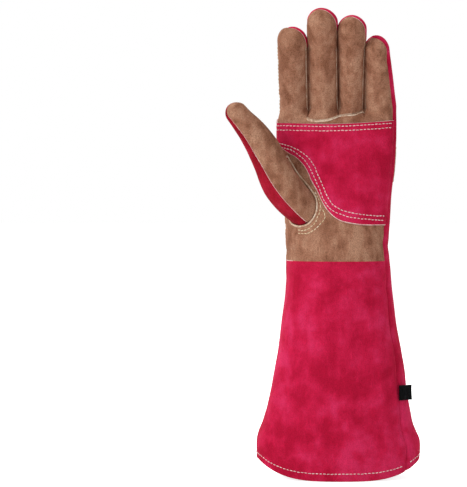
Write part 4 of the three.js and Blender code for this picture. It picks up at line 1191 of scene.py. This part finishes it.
tagOuter, tagInner = tagSheet(tagHalf), tagSheet(tagHalf - tag["layer"])
rows, cols = tagOuter.shape[:2]
grid = np.arange(rows * cols).reshape(rows, cols)
total = rows * cols
p, q, s, t = (part.ravel() for part in (grid[:-1, :-1], grid[:-1, 1:], grid[1:, 1:], grid[1:, :-1]))
tagFaces = [np.stack([p, q, s, t], -1), np.stack([t, s, q, p], -1) + total]
loop = np.concatenate([grid[0], grid[1:, -1], grid[-1, -2::-1], grid[-2:0:-1, 0]])
following = np.roll(loop, -1)
tagFaces.append(np.stack([following, loop, loop + total, following + total], -1))
tagFaces = np.concatenate(tagFaces)
makeObject("sideTag", "side_tag",
           np.concatenate([tagOuter.reshape(-1, 3), tagInner.reshape(-1, 3)]), tagFaces,
           ["black"], np.zeros(len(tagFaces)))

print("stage: stitches")

stitch = {
    "pitch": 3.25, "length": 2.5, "wide": 0.42, "high": 0.32, "arch": 0.2, "sink": 0.1, "sides": 6,
    "above": 0.05, "stations": [-0.5, -0.42, -0.2, 0.2, 0.42, 0.5],
    "radii": [0.12, 0.75, 1, 1, 0.75, 0.12],
    "wander": 0.1, "twist": 0.06, "spread": 0.06,
}
threadRows = {"whiteThread": [], "tanThread": []}


def pick(place, run, values):  # values of a polyline at distances along it
    return np.stack([np.interp(place, run, values[:, k]) for k in range(3)], -1)


def addStitches(thread, points, out):  # equal steps along a polyline, with their directions
    run, pitch = runAlong(points[None])[0], stitch["pitch"]
    at = np.arange(pitch * 0.6, run[-1] - pitch * 0.3, pitch)
    along = unit(pick(at + 0.8, run, points) - pick(at - 0.8, run, points))
    threadRows[thread].append((pick(at, run, points), along, unit(pick(at, run, out))))


def addRow(thread, points, away):  # a row that lies just above a surface
    addStitches(thread, points + stitch["above"] * unit(away), unit(away))


def surfaceRow(col, level, relief, off=0.04):  # a row on the body at fractional columns and levels
    low = np.floor(col).astype(int)
    high = np.minimum(low + 1, ulnarCol)
    t = (col - low)[:, None]
    base = mix(bodyPoints(level, low, 0), bodyPoints(level, high, 0), t)
    out = unit(mix(bodyPoints(level, low, 1), bodyPoints(level, high, 1), t) - base)
    return base + out * (relief(base) + off)[:, None], out


def colAtGap(level, gap):  # the column of the front that lies a distance from the index side's seam
    cols = np.arange(radialCol, radialCol + 34)
    runs = runAlong(bodyPoints(level[:, None], cols[None], 0))
    return np.array([np.interp(g, run, cols) for g, run in zip(gap, runs)])


def gapRow(thread, low, high, gap):  # along the lapped seam at a distance from its edge
    level = np.linspace(low, high, 60)
    wobble = gap + 0.25 * np.sin(level / 17.0 + gap)
    addStitches(thread, *surfaceRow(colAtGap(level, wobble), level, frontLift))


for row in (("whiteThread", 4, 188, 2.4), ("whiteThread", 8, 188, 8.2),
            ("tanThread", 191, 283, 2.6), ("tanThread", 191, 282, 8.0)):
    gapRow(*row)

# The hem, all the way round
hemLevel = 6.6
for first, last, relief in ((radialCol + 0.5, ulnarCol - 1, frontLift),
                            (1, radialCol - 0.5, backLift)):
    cols = np.linspace(first, last, 160)
    addStitches("whiteThread", *surfaceRow(cols, np.full(len(cols), hemLevel), relief))

# Rows on the patch: two under its top edge, read from the sheet itself
patchSurface = patchBase + patchLift[..., None] * patchAway


def patchRow(distance, fromEdge, last):  # interp wants the distances rising
    cols = np.arange(last)
    order = np.argsort(fromEdge[:, 0])
    index = np.array([np.interp(distance, fromEdge[order, c], order) for c in cols])
    low = np.minimum(index.astype(int), patch["rows"] - 2)
    points = mix(patchSurface[low, cols], patchSurface[low + 1, cols], (index - low)[:, None])
    addRow("whiteThread", points, patchAway[low, cols])


tabEnd = int(np.sum(columnTurn[patchCols] < 181))
for distance, fromEdge, last in ((2.4, fromTop, len(patchCols) - 2),
                                 (6.2, fromTop, len(patchCols) - 2),
                                 (2.2, fromLow, tabEnd), (6.4, fromLow, tabEnd)):
    patchRow(distance, fromEdge, last)
for tabCol, first, last in ((1, 30, 58), (4, 1, 63)):  # down the tab beside the lapped seam
    addRow("whiteThread", patchSurface[first:last, tabCol], patchAway[first:last, tabCol])


frontView = {"middle": 339, "ground": 477.5, "step": 0.871}  # steps of the view to millimetres


def palmStitches(thread, seen, off):  # a row through places seen in the front view
    seen = np.array(seen, float)
    x = (seen[:, 0] - frontView["middle"]) * frontView["step"]
    z = (frontView["ground"] - seen[:, 1]) * frontView["step"]
    run = runAlong(np.stack([x, z], -1)[None])[0]
    fine = np.linspace(0, run[-1], 120)
    x, z = smoothTable(run, x, fine), smoothTable(run, z, fine)
    base = palmAt(x, z, 0.0)
    out = unit(palmAt(x, z, 4.0) - base)
    addStitches(thread, base + out * (frontLift(base) + off)[:, None], out)


# Two rows along the patch's lower edge and two under the thumb opening, each with its height;
# between them the rows beside the opening, on the index side
onPatch = patch["lift"] + patch["leather"] + stitch["above"]
patchLowRows = (
    (onPatch - 0.12, [
        (281.6, 147.4), (286, 148.6), (290.8, 149.8), (298, 154.6), (304.9, 161), (310.6, 169.8),
        (316.6, 183), (323.4, 200.2), (330.6, 209.4), (340.6, 214.4), (353.4, 217.5),
        (381.3, 220.2)]),
    (onPatch, [
        (280.2, 143.4), (285.5, 145), (291, 146.6), (300, 151.2), (306.2, 156), (313, 164.4),
        (317.2, 173.8), (321.4, 184), (326.2, 195.4), (331, 203.4), (338.8, 209), (348.4, 212.2),
        (360.6, 214.2), (372.9, 215.4), (382.5, 215.6)]))
openingRows = (
    [(313.8, 191), (319, 202), (319.4, 209.3), (316.6, 216.7), (312.9, 224.1), (303.6, 229.7),
     (295.3, 228.8)],
    [(321.5, 208.5), (324, 215.8), (319.4, 223.2), (313.8, 228.8), (306.4, 232.5), (296, 233)])
for above, seen in patchLowRows:
    palmStitches("whiteThread", seen, above)
palmStitches("tanThread", openingRows[0], stitch["above"])
for grow in (2.6, 5.8):
    besideOpening = openingAt(np.linspace(0.72, 0.985, 80), stitch["above"], grow)
    addStitches("tanThread", *besideOpening)
palmStitches("tanThread", openingRows[1], stitch["above"])

# Strap rows near both edges
strapSurface = strapBase + strapLift[..., None] * strapAway
for k in (2, 22):
    addRow("tanThread", strapSurface[k], strapAway[k])

# The row along the index finger's brown side
indexCols = radialCol + 6
rows = np.arange(forkRow - 22, forkRow + 34)
rows = rows[skinBase[rows, indexCols, 2] > 316]
indexOut = unit(skinAway[rows, indexCols])
indexLift = (frontRelief[rows, indexCols] + stitch["above"])[:, None]
addStitches("tanThread", skinBase[rows, indexCols] + indexOut * indexLift, indexOut)


def makeStitches(name, thread):
    # Each stitch is a low capsule arching over the leather between its two holes
    centre, along, out = (np.concatenate(v) for v in zip(*threadRows[thread]))
    wander = np.random.default_rng(5).normal(0, 1, (len(centre), 3))
    out = unit(out - np.sum(out * along, -1, keepdims=True) * along)
    side = np.cross(out, along)
    centre = centre + side * stitch["wander"] * wander[:, :1]
    along = unit(along + side * stitch["twist"] * wander[:, 1:2])
    side = np.cross(out, along)
    length = stitch["length"] * (1 + stitch["spread"] * wander[:, 2])
    station, radius = np.array(stitch["stations"]), np.array(stitch["radii"])
    sink = stitch["arch"] * (1 - (2 * station) ** 2) - stitch["sink"]
    a = np.linspace(0, 2 * np.pi, stitch["sides"], endpoint=False)
    ring = (centre[:, None, None] + along[:, None, None]
            * (length[:, None] * station)[..., None, None]
            + out[:, None, None] * (sink[:, None] + stitch["high"] * radius[:, None]
                                    * np.cos(a))[None, ..., None]
            + side[:, None, None] * (stitch["wide"] * radius[:, None] * np.sin(a))[None, ..., None])
    count, stations, sides = ring.shape[:3]
    k, s = np.arange(stations - 1)[:, None], np.arange(sides)[None]
    p0, p1 = k * sides + s, k * sides + (s + 1) % sides
    one = np.concatenate([np.stack([p0, p0 + sides, p1 + sides], -1).reshape(-1, 3),
                          np.stack([p0, p1 + sides, p1], -1).reshape(-1, 3)])
    fan = np.arange(1, sides - 1)
    last = (stations - 1) * sides
    one = np.concatenate([one, np.stack([0 * fan, fan, fan + 1], -1),
                          np.stack([0 * fan, fan + 1, fan], -1) + last])
    faces = (np.arange(count)[:, None, None] * stations * sides + one[None]).reshape(-1, 3)
    makeObject(name, None, ring.reshape(-1, 3), faces, [thread], np.zeros(len(faces)))


makeStitches("paleStitches", "whiteThread")
makeStitches("creamStitches", "tanThread")

print("stage: done")
